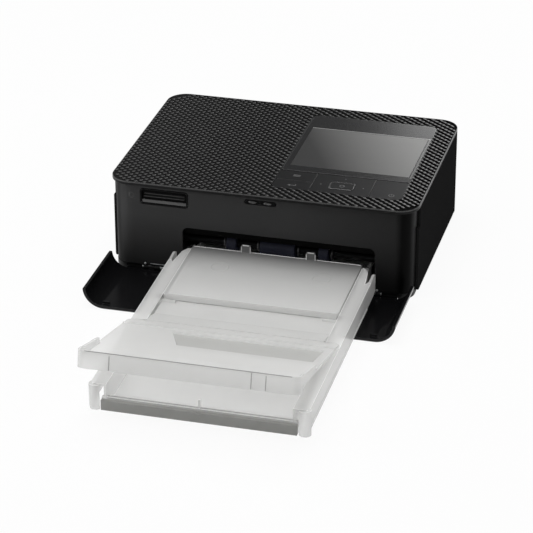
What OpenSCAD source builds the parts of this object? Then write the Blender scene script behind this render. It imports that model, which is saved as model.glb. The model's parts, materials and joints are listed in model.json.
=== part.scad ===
// Compact dye-sublimation photo printer, standing with its front door laid open and its
// paper cassette pushed in. X runs to the right as seen from the front, Y runs from the
// front to the back and Z is up. The modules are drawn about the middle of the body, on the
// table, and placed() then puts the origin under the middle of the whole printer as it stands.

/* [Body] */
// Width of the body
body_w = 182.2; // [178:0.2:190]
// Depth of the body
body_d = 133; // [131:0.5:140]
// Height of the body above the table
body_h = 57.6; // [57:0.2:62]
// Radius of the upright corners
corner_r = 12; // [9:0.5:14]
// Thickness of the side, rear and front walls
wall = 1.8; // [1.4:0.1:2.2]
// Height of the rubber feet below the floor
foot_h = 2.3; // [2:0.1:3]
// Thickness of the floor
floor_t = 1.7; // [1.4:0.1:2.2]
// Thickness of the top cover
cover_t = 2.2; // [2:0.1:2.6]
// Seam left between neighbouring covers
seam = 0.2; // [0.1:0.05:0.3]
// How far the front housing stands back behind the closed door
front_inset = 2; // [1.9:0.1:2.6]
// Where the side panels start behind the front face
side_back = 11.5; // [10:0.5:16]
// Height of the finger notch at the top of each side panel
notch_h = 12.5; // [8:0.5:16]
// Depth of that finger notch
notch_d = 3; // [1:0.5:4]

/* [Mouth] */
// Width of the front opening
mouth_w = 114.2; // [112:0.2:116]
// Sideways place of the middle of the opening
mouth_x = 10.3; // [10:0.1:11.4]
// Top of the opening above the table
mouth_top = 30.9; // [29:0.1:33]
// Radius of the upper corners of the opening
mouth_r = 3.5; // [1:0.5:5]

/* [Card slot and lamp window] */
// Width of the recessed card-slot bezel
card_w = 29; // [27:0.5:32]
// Height of the card-slot bezel
card_h = 10.2; // [9:0.1:11.5]
// Sideways place of the middle of the bezel
card_x = -57.5; // [-60:0.5:-55]
// Distance of the bezel's middle below the top cover
card_drop = 7.1; // [6.8:0.1:8]
// Width of the card mouth
card_slot_w = 24.6; // [24.2:0.1:25]
// Height of the card mouth
card_slot_h = 2.8; // [2.4:0.1:3.2]
// Length of the lamp window
lamp_w = 19; // [12:0.5:24]
// Height of the lamp window
lamp_h = 3; // [2.4:0.1:3.6]
// Distance of the lamp window's middle below the top cover
lamp_drop = 3.4; // [3:0.1:4]

/* [Control panel] */
// Width of the control panel
panel_w = 76.4; // [76:0.2:78]
// Depth of the control panel
panel_d = 106; // [104:0.5:108]
// Border between the panel and the right edge of the body
panel_side = 11.7; // [10:0.1:13]
// Border between the panel and the front edge of the body
panel_front = 14.5; // [13:0.5:16]
// Corner radius of the control panel
panel_r = 4.5; // [2:0.5:6]
// Depth of the row of keys in front of the display window
key_row = 24.4; // [23:0.2:26]
// Width of the left keys
left_key_w = 22.2; // [21:0.2:24]
// Width of the four-way pad
pad_w = 34.8; // [33:0.2:37]
// Thickness of the display window
glass_t = 1.5; // [1:0.1:1.8]
// Travel of every key
key_travel = 0.4; // [0.2:0.1:0.5]
// Width of the display module
lcd_w = 74; // [72:0.5:75]
// Depth of the display module
lcd_d = 62; // [58:0.5:64]
// Thickness of the display module
lcd_t = 3.6; // [3:0.1:4]

/* [Front door] */
// Thickness of the door
door_t = 1.8; // [1.5:0.1:1.8]
// Height of the door hinge above the table
door_pin_z = 2.6; // [2.5:0.1:3]
// Diameter of the door hinge rod
door_rod_d = 1.6; // [1.2:0.1:1.8]
// Distance of the hinge knuckles from the middle of the body
knuckle_x = 66; // [60:0.5:74]
// Width of each hinge knuckle
knuckle_w = 4; // [3:0.5:6]

/* [Cassette] */
// Outer width of the cassette
cas_w = 119; // [116:0.5:122]
// Sideways place of the middle of the cassette
cas_x = 11; // [10:0.1:12]
// Place of the cassette's inner end
cas_in = -20; // [-21:0.5:-19]
// Height of the cassette's front end above the table
cas_z = 3.8; // [3.6:0.1:4]
// Tilt of the cassette in its guides, front end down
cas_tilt = 1; // [0.8:0.1:1.2]
// Overall length of the tray
tray_l = 213; // [210:0.5:215]
// Width of the narrow part of the tray that goes into the printer
tray_in_w = 104; // [103:0.5:106]
// Height of the tray's side rails
tray_h = 14.8; // [14:0.1:15.4]
// Thickness of the cassette's walls
tray_t = 1.5; // [1.2:0.1:1.8]
// Length of the narrow part of the tray that goes into the printer
tray_in_l = 67; // [66:0.5:70]
// How far the outer wall runs on behind the rail as a pointed wing
wing_l = 11.5; // [8:0.5:12]
// Height of the grey bar across the cassette's front
bar_h = 6; // [5:0.1:7]
// Slope of the raised outer cover against the tray
flap_slope = 15; // [12:0.5:18]
// Length of the sloping part of the outer cover
flap_l = 106.6; // [100:0.5:108]
// Height of the lip at the end of the outer cover
lip_h = 9.6; // [8:0.1:11]
// Distance of the outer cover's hinge from the tray's inner end
flap_pin_back = 111; // [110:0.5:113]
// Distance of the inner cover's hinge from the tray's inner end
inner_pin_back = 104; // [102:0.5:105]
// Length of the inner cover behind its hinge
inner_l = 55.5; // [52:0.5:56]

/* [Rollers] */
// Radius of the rubber pick-up rollers
pick_r = 6.5; // [6:0.1:6.6]
// Radius of the pick-up shaft
pick_shaft_r = 2.5; // [2:0.1:3]
// Width of the middle pick-up roller
pick_mid_w = 20.5; // [16:0.5:24]
// Width of each outer pick-up roller
pick_side_w = 5.5; // [4:0.5:7]
// Radius of the platen roller
platen_r = 7; // [6:0.1:7.4]
// Radius of the platen shaft
platen_shaft_r = 3; // [2:0.1:3.5]
// Radius of the capstan
capstan_r = 2.5; // [2:0.1:2.8]
// Radius of the pinch roller
pinch_r = 2.5; // [2:0.1:2.8]
// Radial running clearance of every shaft
run_gap = 0.05; // [0.02:0.01:0.1]

/* [Ribbon] */
// Radius of the round spool cases of the ribbon cartridge
case_r = 9.5; // [9:0.1:9.8]
// Wall of the spool cases
case_t = 1.2; // [1:0.1:1.4]
// Radius of the film wound on the supply spool
supply_r = 7.4; // [4:0.1:7.6]
// Radius of the film wound on the take-up spool
takeup_r = 5; // [4:0.1:7.6]
// Length of the ribbon cartridge
ribbon_l = 114; // [110:0.5:116]

/* [Drive] */
// Radius of the motor
motor_r = 9; // [8:0.5:10]
// Length of the motor
motor_l = 20; // [16:0.5:22]
// Outer radius of the motor pulley
pulley_a = 3.5; // [3:0.1:4]
// Outer radius of the capstan pulley
pulley_b = 7; // [6:0.1:7.5]
// Thickness of the belt
belt_t = 1; // [0.8:0.1:1.2]

/* [Hidden] */
$fn = 48;
eps = 0.01;
half_w = body_w / 2;
half_d = body_d / 2;
front_y = -half_d + front_inset;
floor_top = foot_h + floor_t;
cover_z = body_h - cover_t;
side_y0 = -half_d + side_back;
side_y1 = half_d - corner_r;
panel_x1 = half_w - panel_side;
panel_x0 = panel_x1 - panel_w;
panel_y0 = -half_d + panel_front;
panel_y1 = panel_y0 + panel_d;
key_line = panel_y0 + key_row;
pad_x0 = panel_x0 + left_key_w;
pad_x1 = pad_x0 + pad_w;
mouth_x0 = mouth_x - mouth_w / 2;
mouth_x1 = mouth_x + mouth_w / 2;
door_pin_y = -half_d + door_pin_z;
door_top = cover_z - seam;
door_l = door_top - door_pin_z;
knuckle_r = door_rod_d / 2 + 0.5;
lug_w = 3;
rod_x = knuckle_x + knuckle_w / 2 + lug_w + 0.6;
heel_t = 1.3;
heel_in = 1.1;
heel_x = 81;
key_top = body_h - 0.3;
key_t = 1.6;
board_z = key_top - 6;
board_t = 1.2;
key_gap = 0.25;
key_boss_y = panel_y0 + 12;
window_z = body_h - 0.1 - glass_t;
pin_in = 1;
dome_top = board_z + board_t + 0.6;
bezel_d = 3;
lamp_z = cover_z - lamp_drop;
card_z = cover_z - card_drop;
in_x0 = mouth_x0 - 5.4;
in_x1 = mouth_x1 + 6.3;
mid_x = (in_x0 + in_x1) / 2;
plate_t = 1;
plate_y0 = front_y + wall + 0.6;
plate_y1 = half_d - wall - 2.6;
plate_z1 = 50;
pick_y = -52;
pick_z = 19;
platen_y = 10;
platen_z = 20.5;
path_z = platen_z + platen_r + 0.1;
spool_z = 39;
supply_y = platen_y - 27.5;
takeup_y = platen_y + 24.5;
capstan_y = takeup_y + case_r + 4.5;
capstan_z = path_z - 0.1 - capstan_r;
pinch_z = path_z + 0.2 + pinch_r;
ribbon_x0 = in_x0 + plate_t + 5;
ribbon_x1 = ribbon_x0 + ribbon_l;
shelf_t = 1.6;
latch_x = in_x1 + plate_t + 2;
latch_y = takeup_y + case_r + 5;
ribbon_end = latch_x - 0.2;
bridge_z = 0.4;
bridge_h = 2.8;
head_pin_y = platen_y + 8;
head_pin_z = 44.5;
motor_y = 20;
motor_z = 16;
pulley_x1 = in_x0 - 0.8;
pulley_w = 4;
belt_gap = 0.1;
motor_shaft_r = 1;
side_pick_x = 27.5;
pick_x = 8;
clip_r = 3.6;
barrel_r = 1.3;
hinge_x = half_w - barrel_r;
hinge_y = side_y1 - 4;
pin_r = 0.6;
ear_t = 1.6;
rail_in = tray_in_w / 2;
cas_front = cas_in - tray_l;
rail_l = tray_l - tray_in_l;
flap_pin_y = tray_l - flap_pin_back;
inner_pin_y = tray_l - inner_pin_back;
wall_bottom = 3;
low_wall = 8.4;
lift_t = 0.8;
lift_y1 = tray_l - 4;
lift_y0 = lift_y1 - 149;
lift_hole_y = lift_y0 + 60;
lift_hole_r = 6;
spring_z = 0.5;
spring_t = 0.4;
spring_w = 20;
spring_y0 = tray_l - 48;
spring_y1 = spring_y0 + 34;
flap_pin_z = 11.3;
flap_root_y = flap_pin_y - 15;
flap_root_top = 12.5;
inner_pin_z = 12.3;
inner_top = 15.5;
cover_in = rail_in - tray_t - 0.3;
recess_t = 0.7;
lip_reach = (flap_l + tray_t) * cos(flap_slope) + lip_h / 2 * sin(flap_slope) - flap_root_y;
front_reach = cas_front - lip_reach - 0.6;

// ---------- shared shapes ----------

// Moves a node from the middle of the body to the middle of the whole printer
module placed() {
  translate([0, -(front_reach + half_d) / 2, 0]) children();
}

// Rectangle with four round corners
module rounded(x0, x1, y0, y1, r) {
  translate([x0 + r, y0]) square([x1 - x0 - 2 * r, y1 - y0]);
  translate([x0, y0 + r]) square([x1 - x0, y1 - y0 - 2 * r]);
  for (x = [x0 + r, x1 - r], y = [y0 + r, y1 - r]) translate([x, y]) circle(r);
}

// Box given by its two corners
module box(a, b) {
  translate(a) cube([b[0] - a[0], b[1] - a[1], b[2] - a[2]]);
}

// Extrudes an outline in X and Z from y0 to y1
module along_y(y0, y1) {
  translate([0, y1, 0]) rotate([90, 0, 0]) linear_extrude(y1 - y0) children();
}

// Extrudes an outline in Y and Z from x0 to x1
module along_x(x0, x1) {
  translate([x0, 0, 0]) rotate([90, 0, 90]) linear_extrude(x1 - x0) children();
}

// Round bar along X
module bar_x(x0, x1, y, z, r) {
  translate([x0, y, z]) rotate([0, 90, 0]) cylinder(h = x1 - x0, r = r);
}

// Outline of the body, drawn in by a distance
module footprint(inset) {
  rounded(-half_w + inset, half_w - inset, -half_d + inset, half_d - inset, corner_r - inset);
}

// ---------- covers ----------

// Front edge of the floor, behind the hinge rod
floor_y0 = door_pin_y + knuckle_r + 0.5;
foot_x = half_w - 22;
foot_y = half_d - 20;
foot_r = 4.9;
foot_in = 0.8;
skirt_t = 1.4;
skirt_gap = 0.3;
screw_x = half_w - 8;
screw_y = half_d - 26.5;
screw_head_r = 2.4;
screw_head_h = 0.8;
screw_r = 1.2;

// Area inside the skirt, from its straight front part backwards
module offset_footprint(inset, y0) {
  intersection() {
    footprint(inset);
    translate([-half_w, y0]) square([body_w, body_d]);
  }
}

module base_housing() {
  color("#1c1c1e") difference() {
    union() {
      difference() {
        translate([0, 0, foot_h]) linear_extrude(floor_t) footprint(wall);
        box([-half_w, -half_d, 0], [half_w, floor_y0, floor_top + 1]);
        box([half_w - wall - seam, -half_d, 0], [half_w, door_split + seam, floor_top + 1]);
      }
      translate([hinge_x, hinge_y, foot_h]) cylinder(h = ear_t, r = barrel_r);
      box([half_w - wall - seam - 1, hinge_y - barrel_r, foot_h], [hinge_x, hinge_y + barrel_r, foot_h + ear_t]);
      for (s = [-1, 1]) {
        for (k = [knuckle_x - knuckle_w / 2 - lug_w - 0.15, knuckle_x + knuckle_w / 2 + 0.15]) {
          x = s > 0 ? k : -k - lug_w;
          box([x, door_pin_y, foot_h - 0.2], [x + lug_w, floor_y0 + 2, floor_top]);
          bar_x(x, x + lug_w, door_pin_y, door_pin_z, knuckle_r);
        }
      }
      for (sx = [-1, 1], sy = [-1, 1]) translate([sx * screw_x, sy * screw_y, floor_top - eps]) {
        cylinder(h = 6, r = 3);
      }
      translate([0, 0, skirt_gap]) linear_extrude(foot_h - skirt_gap + eps) difference() {
        intersection() {
          footprint(wall);
          translate([-half_w, floor_y0]) square([body_w, corner_r]);
        }
        offset_footprint(wall + skirt_t, floor_y0 + skirt_t);
      }
      for (s = [0, 1]) mirror([s, 0, 0]) translate([0, 0, skirt_gap]) linear_extrude(floor_top - skirt_gap) {
        intersection() {
          footprint(wall);
          translate([heel_x + 0.2, door_pin_y]) square([corner_r, floor_y0 + skirt_t - door_pin_y]);
        }
      }
      for (y = [-34, 2, 44]) box([-half_w + 8, y, floor_top - eps], [in_x0 - 1, y + 1.2, floor_top + 2]);
    }
    bar_x(-rod_x - 0.4, rod_x + 0.4, door_pin_y, door_pin_z, door_rod_d / 2);
    translate([hinge_x, hinge_y, 0]) cylinder(h = body_h, r = pin_r);
    for (sx = [-1, 1], sy = [-1, 1]) {
      translate([sx * foot_x, sy * foot_y, foot_h - 1]) cylinder(h = foot_in + 1, r = foot_r + 0.1);
      translate([sx * screw_x, sy * screw_y, foot_h - 1]) cylinder(h = floor_t + 8, r = screw_r + 0.1);
      translate([sx * screw_x, sy * screw_y, foot_h - 1]) cylinder(h = screw_head_h + 1, r = screw_head_r + 0.2);
    }
  }
}

front_side_y = side_y0 + 3;

module front_housing() {
  color("#1e1e20") difference() {
    translate([0, 0, floor_top]) linear_extrude(cover_z - floor_top) difference() {
      intersection() {
        rounded(-half_w + front_inset, half_w - front_inset, front_y, half_d, corner_r - front_inset);
        translate([-half_w, -half_d]) square([body_w, front_side_y + half_d]);
      }
      rounded(-half_w + front_inset + wall, half_w - front_inset - wall, front_y + wall, half_d,
              corner_r - front_inset - wall);
    }
    along_y(front_y - 1, front_y + wall + 1) {
      rounded(mouth_x0, mouth_x1, -mouth_r, mouth_top, mouth_r);
      rounded(card_x - card_w / 2, card_x + card_w / 2, card_z - card_h / 2, card_z + card_h / 2, 2);
      rounded(-lamp_w / 2, lamp_w / 2, lamp_z - lamp_h / 2, lamp_z + lamp_h / 2, lamp_h / 2 - eps);
    }
  }
}

module top_cover() {
  color("#232325") difference() {
    union() {
      translate([0, 0, cover_z]) linear_extrude(cover_t) footprint(0);
      difference() {
        translate([0, 0, cover_z - 3]) linear_extrude(3 + eps) difference() {
          footprint(front_inset + wall + 0.3);
          footprint(front_inset + wall + 1.5);
        }
        box([card_x - card_w / 2 - 3, -half_d, 0], [lamp_w / 2 + 3, -half_d + 9, cover_z]);
      }
      for (x = [panel_x0 - 2, panel_x1 + 2]) translate([x, key_boss_y, board_z + board_t]) {
        cylinder(h = cover_z - board_z - board_t + eps, r = 1.6);
      }
      translate([0, 0, window_z - 1.2]) linear_extrude(1.2) difference() {
        rounded(panel_x0 - 2, panel_x1 + 2, key_line - 1 + 0.4, panel_y1 + 2, panel_r);
        rounded(panel_x0 + 1, panel_x1 - 1, key_line - 9, panel_y1 - 1, panel_r - 1);
      }
    }
    translate([0, 0, window_z]) linear_extrude(cover_t + 5) {
      rounded(panel_x0 - seam, panel_x1 + seam, panel_y0 - seam, panel_y1 + seam, panel_r);
    }
    translate([0, 0, cover_z - 4]) linear_extrude(cover_t + 5) {
      rounded(panel_x0 - seam, panel_x1 + seam, panel_y0 - seam, key_line, panel_r);
      translate([panel_x0 - seam, panel_y0 + panel_r]) square([panel_x1 - panel_x0 + 2 * seam, key_line - panel_y0 - panel_r]);
      rounded(panel_x0 + 1, panel_x1 - 1, key_line - 9, panel_y1 - 1, panel_r - 1);
    }
    translate([hinge_x, hinge_y, cover_z - 1]) cylinder(h = 1 + pin_in, r = pin_r);
  }
}

// Outline in Y and Z of a side panel, with its finger notch and soft lower front corner
module side_outline(y0, y1, top = cover_z - seam) {
  difference() {
    translate([y0, foot_h]) square([y1 - y0, top - foot_h]);
    translate([y0 - eps, cover_z - notch_h]) square([notch_d, notch_h]);
    difference() {
      translate([y0 - eps, foot_h - eps]) square([3, 3]);
      translate([y0 + 3, foot_h + 3]) circle(3);
    }
  }
}

// Rounded rear corner of the body on the right side
module rear_corner(x1) {
  translate([0, 0, foot_h]) linear_extrude(cover_z - foot_h) intersection() {
    difference() {
      footprint(0);
      footprint(wall);
    }
    translate([x1, side_y1 - eps]) square([half_w, body_d]);
  }
}

module left_panel() {
  color("#1a1a1b") difference() {
    union() {
      along_x(-half_w, -half_w + wall) side_outline(side_y0, side_y1, cover_z);
      mirror([1, 0, 0]) rear_corner(half_w - corner_r);
    }
    along_x(-half_w - 1, -half_w + wall + 1) rounded(usb_y - 7, usb_y + 7, usb_z - 3.3, usb_z + 3.3, 1);
  }
}

door_split = hinge_y + barrel_r;

module ribbon_door() {
  z0 = foot_h + ear_t + seam;
  color("#161617") difference() {
    union() {
      difference() {
        along_x(half_w - wall, half_w) side_outline(side_y0, hinge_y);
        box([half_w - wall - 1, hinge_y - barrel_r - seam, 0], [half_w + 1, hinge_y + 1, z0]);
      }
      translate([hinge_x, hinge_y, z0]) cylinder(h = cover_z - seam - z0, r = barrel_r);
      box([half_w - wall - 2, side_y0 + 12, 30], [half_w - wall + eps, side_y0 + 20, 34]);
    }
    translate([hinge_x, hinge_y, 0]) cylinder(h = body_h, r = pin_r + run_gap);
  }
}

module ribbon_door_pin() {
  color("#8d8f92") translate([hinge_x, hinge_y, foot_h]) cylinder(h = cover_z - foot_h + pin_in, r = pin_r);
}

module right_rear_panel() {
  color("#161617") {
    box([half_w - wall, door_split + seam, foot_h], [half_w, side_y1, cover_z]);
    rear_corner(half_w - corner_r);
  }
}

slot_z0 = path_z - 2;
slot_z1 = path_z + 3.5;

module rear_panel() {
  x = half_w - corner_r - seam;
  color("#1b1b1d") difference() {
    box([-x, half_d - wall, foot_h], [x, half_d, cover_z]);
    along_y(half_d - wall - 1, half_d + 1) {
      rounded(mouth_x0 + 2, mouth_x1 - 2, slot_z0, slot_z1, 1.5);
      for (k = [0:9]) rounded(-18 + k * 8, -13 + k * 8, cover_z - 17.4, cover_z - 6.4, 1);
      translate([dc_x, dc_z]) circle(3.6);
      rounded(usb_c_x - 4.8, usb_c_x + 4.8, dc_z - 1.9, dc_z + 1.9, 1.8);
    }
  }
}

// ---------- front door ----------

module front_door() {
  zc = corner_r;
  color("#101011") difference() {
    union() {
      along_y(-half_d + door_pin_z - door_l, -half_d) intersection() {
        difference() {
          rounded(-half_w, half_w, 0, body_h, corner_r);
          rounded(-half_w + door_t, half_w - door_t, door_t, body_h, corner_r - door_t);
        }
        translate([-half_w, 0]) square([body_w, zc - 0.5]);
      }
      along_x(-heel_x, heel_x) polygon([
        [-half_d - 1, 0], [door_pin_y, 0], [door_pin_y + 0.6, 0.1], [door_pin_y + heel_in, 0.3],
        [door_pin_y + heel_in, heel_t], [-half_d - 1, heel_t]
      ]);
      for (s = [-1, 1]) {
        bar_x(s * knuckle_x - knuckle_w / 2, s * knuckle_x + knuckle_w / 2, door_pin_y, door_pin_z, knuckle_r);
        box([s * knuckle_x - knuckle_w / 2, -half_d - 3, 0], [s * knuckle_x + knuckle_w / 2, door_pin_y, door_t]);
        box([s * 78 - 2, -half_d - door_l + door_pin_z + 3, door_t - eps],
            [s * 78 + 2, -half_d - door_l + door_pin_z + 4.2, door_t + 1.6]);
      }
    }
    bar_x(-half_w, half_w, door_pin_y, door_pin_z, door_rod_d / 2 + run_gap);
  }
}

module door_rod() {
  color("#7e8184") bar_x(-rod_x, rod_x, door_pin_y, door_pin_z, door_rod_d / 2);
}

module feet() {
  color("#2a2a2a") for (sx = [-1, 1], sy = [-1, 1]) {
    translate([sx * foot_x, sy * foot_y, 0]) cylinder(h = foot_h + foot_in, r = foot_r);
  }
}

module base_screws() {
  color("#9a9c9f") for (sx = [-1, 1], sy = [-1, 1]) translate([sx * screw_x, sy * screw_y, foot_h]) {
    difference() {
      union() {
        cylinder(h = screw_head_h, r = screw_head_r);
        cylinder(h = 7, r = screw_r);
      }
      translate([0, 0, -eps]) {
        box([-1.6, -0.25, 0], [1.6, 0.25, 0.5]);
        box([-0.25, -1.6, 0], [0.25, 1.6, 0.5]);
      }
    }
  }
}

// ---------- front fittings ----------

module card_bezel() {
  x0 = card_x - card_w / 2 + 0.1;
  x1 = card_x + card_w / 2 - 0.1;
  z0 = card_z - card_h / 2 + 0.1;
  z1 = card_z + card_h / 2 - 0.1;
  slot_z = card_z + 0.9;
  color("#2b2b2d") difference() {
    union() {
      along_y(front_y, front_y + bezel_d) rounded(x0, x1, z0, z1, 1.9);
      along_y(front_y + wall, front_y + bezel_d) rounded(x0 - 1, x1 + 1, z0 - 1, z1 + 1, 1);
    }
    along_y(front_y - 1, front_y + 1.2) rounded(x0 + 1, x1 - 1, z0 + 1, z1 - 1, 1.2);
    box([card_x - card_slot_w / 2, front_y, slot_z - card_slot_h / 2],
        [card_x + card_slot_w / 2, front_y + bezel_d + 1, slot_z + card_slot_h / 2]);
  }
}

module card_reader() {
  x0 = card_x - card_slot_w / 2 - 1.6;
  x1 = card_x + card_slot_w / 2 + 1.6;
  z = card_z + 0.9;
  y0 = front_y + bezel_d;
  color("#9fa3a6") {
    difference() {
      box([x0, y0, z - card_slot_h / 2 - 0.5], [x1, y0 + 28, z + card_slot_h / 2 + 0.5]);
      box([x0 + 1.5, y0 - 1, z - card_slot_h / 2], [x1 - 1.5, y0 + 26, z + card_slot_h / 2]);
    }
    box([x0 - 2, y0, z - card_slot_h / 2 - 1.7], [x1 + 2, y0 + 30, z - card_slot_h / 2 - 0.5]);
  }
}

module lamp_window() {
  color("#0c0c0d") {
    along_y(front_y + 0.2, front_y + wall + eps) {
      rounded(-lamp_w / 2 + 0.1, lamp_w / 2 - 0.1, lamp_z - lamp_h / 2 + 0.1, lamp_z + lamp_h / 2 - 0.1,
              lamp_h / 2 - 0.1 - eps);
    }
    box([-lamp_w / 2 - 1, front_y + wall, lamp_z - lamp_h / 2 - 1],
        [lamp_w / 2 + 1, front_y + wall + 0.8, lamp_z + lamp_h / 2 + 0.7]);
  }
}

module lamp_board() {
  y = front_y + wall + 2.6;
  color("#1f5a38") {
    box([-12, y, lamp_z - 4], [12, y + 1, cover_z]);
    for (x = [-5.5, 5.5]) box([x - 1, y - 0.9, lamp_z - 0.8], [x + 1, y + eps, lamp_z + 0.8]);
  }
}

// ---------- control panel ----------

module display_window() {
  color("#08080a") translate([0, 0, window_z]) linear_extrude(glass_t) intersection() {
    rounded(panel_x0, panel_x1, panel_y0, panel_y1, panel_r);
    translate([panel_x0, key_line]) square([panel_x1 - panel_x0, panel_y1 - key_line]);
  }
}

lcd_x0 = (panel_x0 + panel_x1 - lcd_w) / 2;
lcd_y0 = key_line + 2.4;

module display_module() {
  color("#6f7274") {
    box([lcd_x0, lcd_y0, window_z - lcd_t], [lcd_x0 + lcd_w, lcd_y0 + lcd_d, window_z]);
    box([lcd_x0 + 10, lcd_y0 + lcd_d - eps, window_z - lcd_t], [lcd_x0 + 40, lcd_y0 + lcd_d + 14, window_z - lcd_t + 0.4]);
  }
}

module key_board() {
  y1 = key_line + 1.6;
  color("#1f5a38") {
    box([panel_x0 - 3.8, panel_y0 + 1, board_z], [panel_x1 + 3.8, y1, board_z + board_t]);
    for (p = [menu_at, back_at, ok_at, pad_left_at, pad_right_at, pad_up_at, power_at]) {
      translate([p[0], p[1], board_z + board_t - eps]) cylinder(h = 0.6, r = 2.2);
    }
  }
}

// Places of the stems and their domes
ok_at = [(pad_x0 + pad_x1) / 2 - 0.1, panel_y0 + 10.5];
menu_at = [panel_x0 + 11, key_line - 6.9];
back_at = [menu_at[0], panel_y0 + 5.4];
pad_left_at = [ok_at[0] - 12.5, ok_at[1]];
pad_right_at = [ok_at[0] + 12.5, ok_at[1]];
pad_up_at = [ok_at[0], key_line - 4];
power_at = [(pad_x1 + panel_x1) / 2, panel_y0 + 12];
stem_r = 1.6;

// One key: a cap cut from the panel outline, with a stem down to its dome
module key(x0, x1, y0, y1, at) {
  translate([0, 0, key_top - key_t]) linear_extrude(key_t) intersection() {
    rounded(panel_x0, panel_x1, panel_y0, panel_y1, panel_r);
    translate([x0, y0]) square([x1 - x0, y1 - y0]);
  }
  stem(at);
}

// Stem from a cap down to just above its dome
module stem(at) {
  z = dome_top + key_travel + 0.1;
  translate([at[0], at[1], z]) cylinder(h = key_top - key_t - z + eps, r = stem_r);
}

key_y1 = key_line - key_gap;
menu_split = key_line - 13;

module menu_key() {
  color("#141416") key(panel_x0, pad_x0 - key_gap / 2, menu_split + key_gap / 2, key_y1, menu_at);
}

module back_key() {
  color("#141416") key(panel_x0, pad_x0 - key_gap / 2, panel_y0, menu_split - key_gap / 2, back_at);
}

ok_x = ok_at[0];
ok_y = ok_at[1];
ok_w = 14;
ok_d = 9.2;

module nav_pad() {
  color("#161618") difference() {
    union() {
      key(pad_x0 + key_gap / 2, pad_x1 - key_gap / 2, panel_y0, key_y1, pad_left_at);
      stem(pad_right_at);
      stem(pad_up_at);
    }
    translate([0, 0, key_top - key_t - 1]) linear_extrude(key_t + 2) {
      rounded(ok_x - ok_w / 2 - key_gap, ok_x + ok_w / 2 + key_gap,
              ok_y - ok_d / 2 - key_gap, ok_y + ok_d / 2 + key_gap, 1.6);
    }
  }
}

module ok_key() {
  color("#1b1b1d") {
    translate([0, 0, key_top - key_t]) linear_extrude(key_t + 0.2) {
      rounded(ok_x - ok_w / 2, ok_x + ok_w / 2, ok_y - ok_d / 2, ok_y + ok_d / 2, 1.4);
    }
    stem(ok_at);
  }
}

module power_key() {
  color("#141416") key(pad_x1 + key_gap / 2, panel_x1, panel_y0, key_y1, power_at);
}

// ---------- chassis ----------

// Outline in Y and Z of a chassis side plate, with one hole for each shaft
module plate_outline() {
  difference() {
    translate([plate_y0, floor_top]) square([plate_y1 - plate_y0, plate_z1 - floor_top]);
    translate([plate_y0 - 1, 43]) square([34, 10]);
    translate([pick_y, pick_z]) circle(pick_shaft_r + run_gap);
    translate([platen_y, platen_z]) circle(platen_shaft_r + run_gap);
    translate([capstan_y, capstan_z]) circle(capstan_r - 0.5 + run_gap);
    translate([capstan_y, pinch_z]) circle(pinch_r - 1 + run_gap);
    translate([head_pin_y, head_pin_z]) circle(1.2);
    for (y = [supply_y, takeup_y]) translate([y, spool_z]) circle(2.6);
  }
}

module chassis_left() {
  color("#a8abad") {
    along_x(in_x0, in_x0 + plate_t) plate_outline();
    box([in_x0, plate_y0, floor_top], [in_x0 + 5, plate_y0 + 8, floor_top + 1]);
    box([in_x0, plate_y1 - 12, floor_top], [in_x0 + 9, plate_y1, floor_top + 1]);
    for (y = [supply_y, takeup_y]) {
      box([in_x0, y - 2, spool_z - case_r - shelf_t], [ribbon_x0 + 3, y + 2, spool_z - case_r]);
    }
  }
}

module chassis_right() {
  color("#a8abad") difference() {
    union() {
      along_x(in_x1, in_x1 + plate_t) plate_outline();
      box([in_x1 - 3, plate_y0, floor_top], [in_x1 + plate_t, plate_y0 + 8, floor_top + 1]);
      box([in_x1 - 8, plate_y1 - 12, floor_top], [in_x1 + plate_t, plate_y1, floor_top + 1]);
      bar_x(in_x1 + plate_t - eps, latch_x + 2.6, latch_y, spool_z, 1.2);
    }
    along_x(in_x1 - 1, in_x1 + plate_t + 1) {
      for (y = [supply_y, takeup_y]) translate([y, spool_z]) circle(case_r + 0.3);
      translate([supply_y, spool_z + bridge_z - 0.3]) square([takeup_y - supply_y, bridge_h + 0.6]);
    }
  }
  color("#a8abad") for (y = [supply_y, takeup_y]) {
    box([ribbon_x1 - 3, y - 2, spool_z - case_r - shelf_t], [in_x1 + eps, y + 2, spool_z - case_r]);
  }
}

module chassis_bridge() {
  color("#a8abad") difference() {
    box([in_x0 + plate_t, plate_y1 - 9, plate_z1 - 1.2], [in_x1, plate_y1, plate_z1]);
    for (x = [in_x0 + 12, in_x1 - 12]) translate([x, plate_y1 - 4.5, plate_z1 - 2]) cylinder(h = 3, r = 1.5);
  }
}

module guide_beam() {
  y0 = front_y + wall + 1.7;
  color("#0e0e0f") difference() {
    union() {
      box([in_x0 + plate_t, y0, 25.9], [in_x1, y0 + 2, 44]);
      box([in_x0 + plate_t, y0, 42], [in_x1, y0 + 12, 44]);
      for (x = [-38, -20, 20, 38]) box([mid_x + x, y0 + 1, 27.5], [mid_x + x + 1.2, y0 + 6, 43]);
    }
    for (x = [in_x0 + 8, in_x1 - 8]) translate([x, y0 + 7, 41]) cylinder(h = 4, r = 1.2);
  }
}

ramp_y0 = cas_in + 3;

module feed_ramp() {
  y1 = platen_y - platen_r - 1.5;
  color("#18181a") along_x(in_x0 + plate_t, in_x1) polygon([
    [ramp_y0, 11], [ramp_y0 + 6, 11], [y1, path_z - 2.2], [y1, path_z - 0.6], [y1 - 1.5, path_z - 0.6],
    [ramp_y0, 13]
  ]);
}

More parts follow.
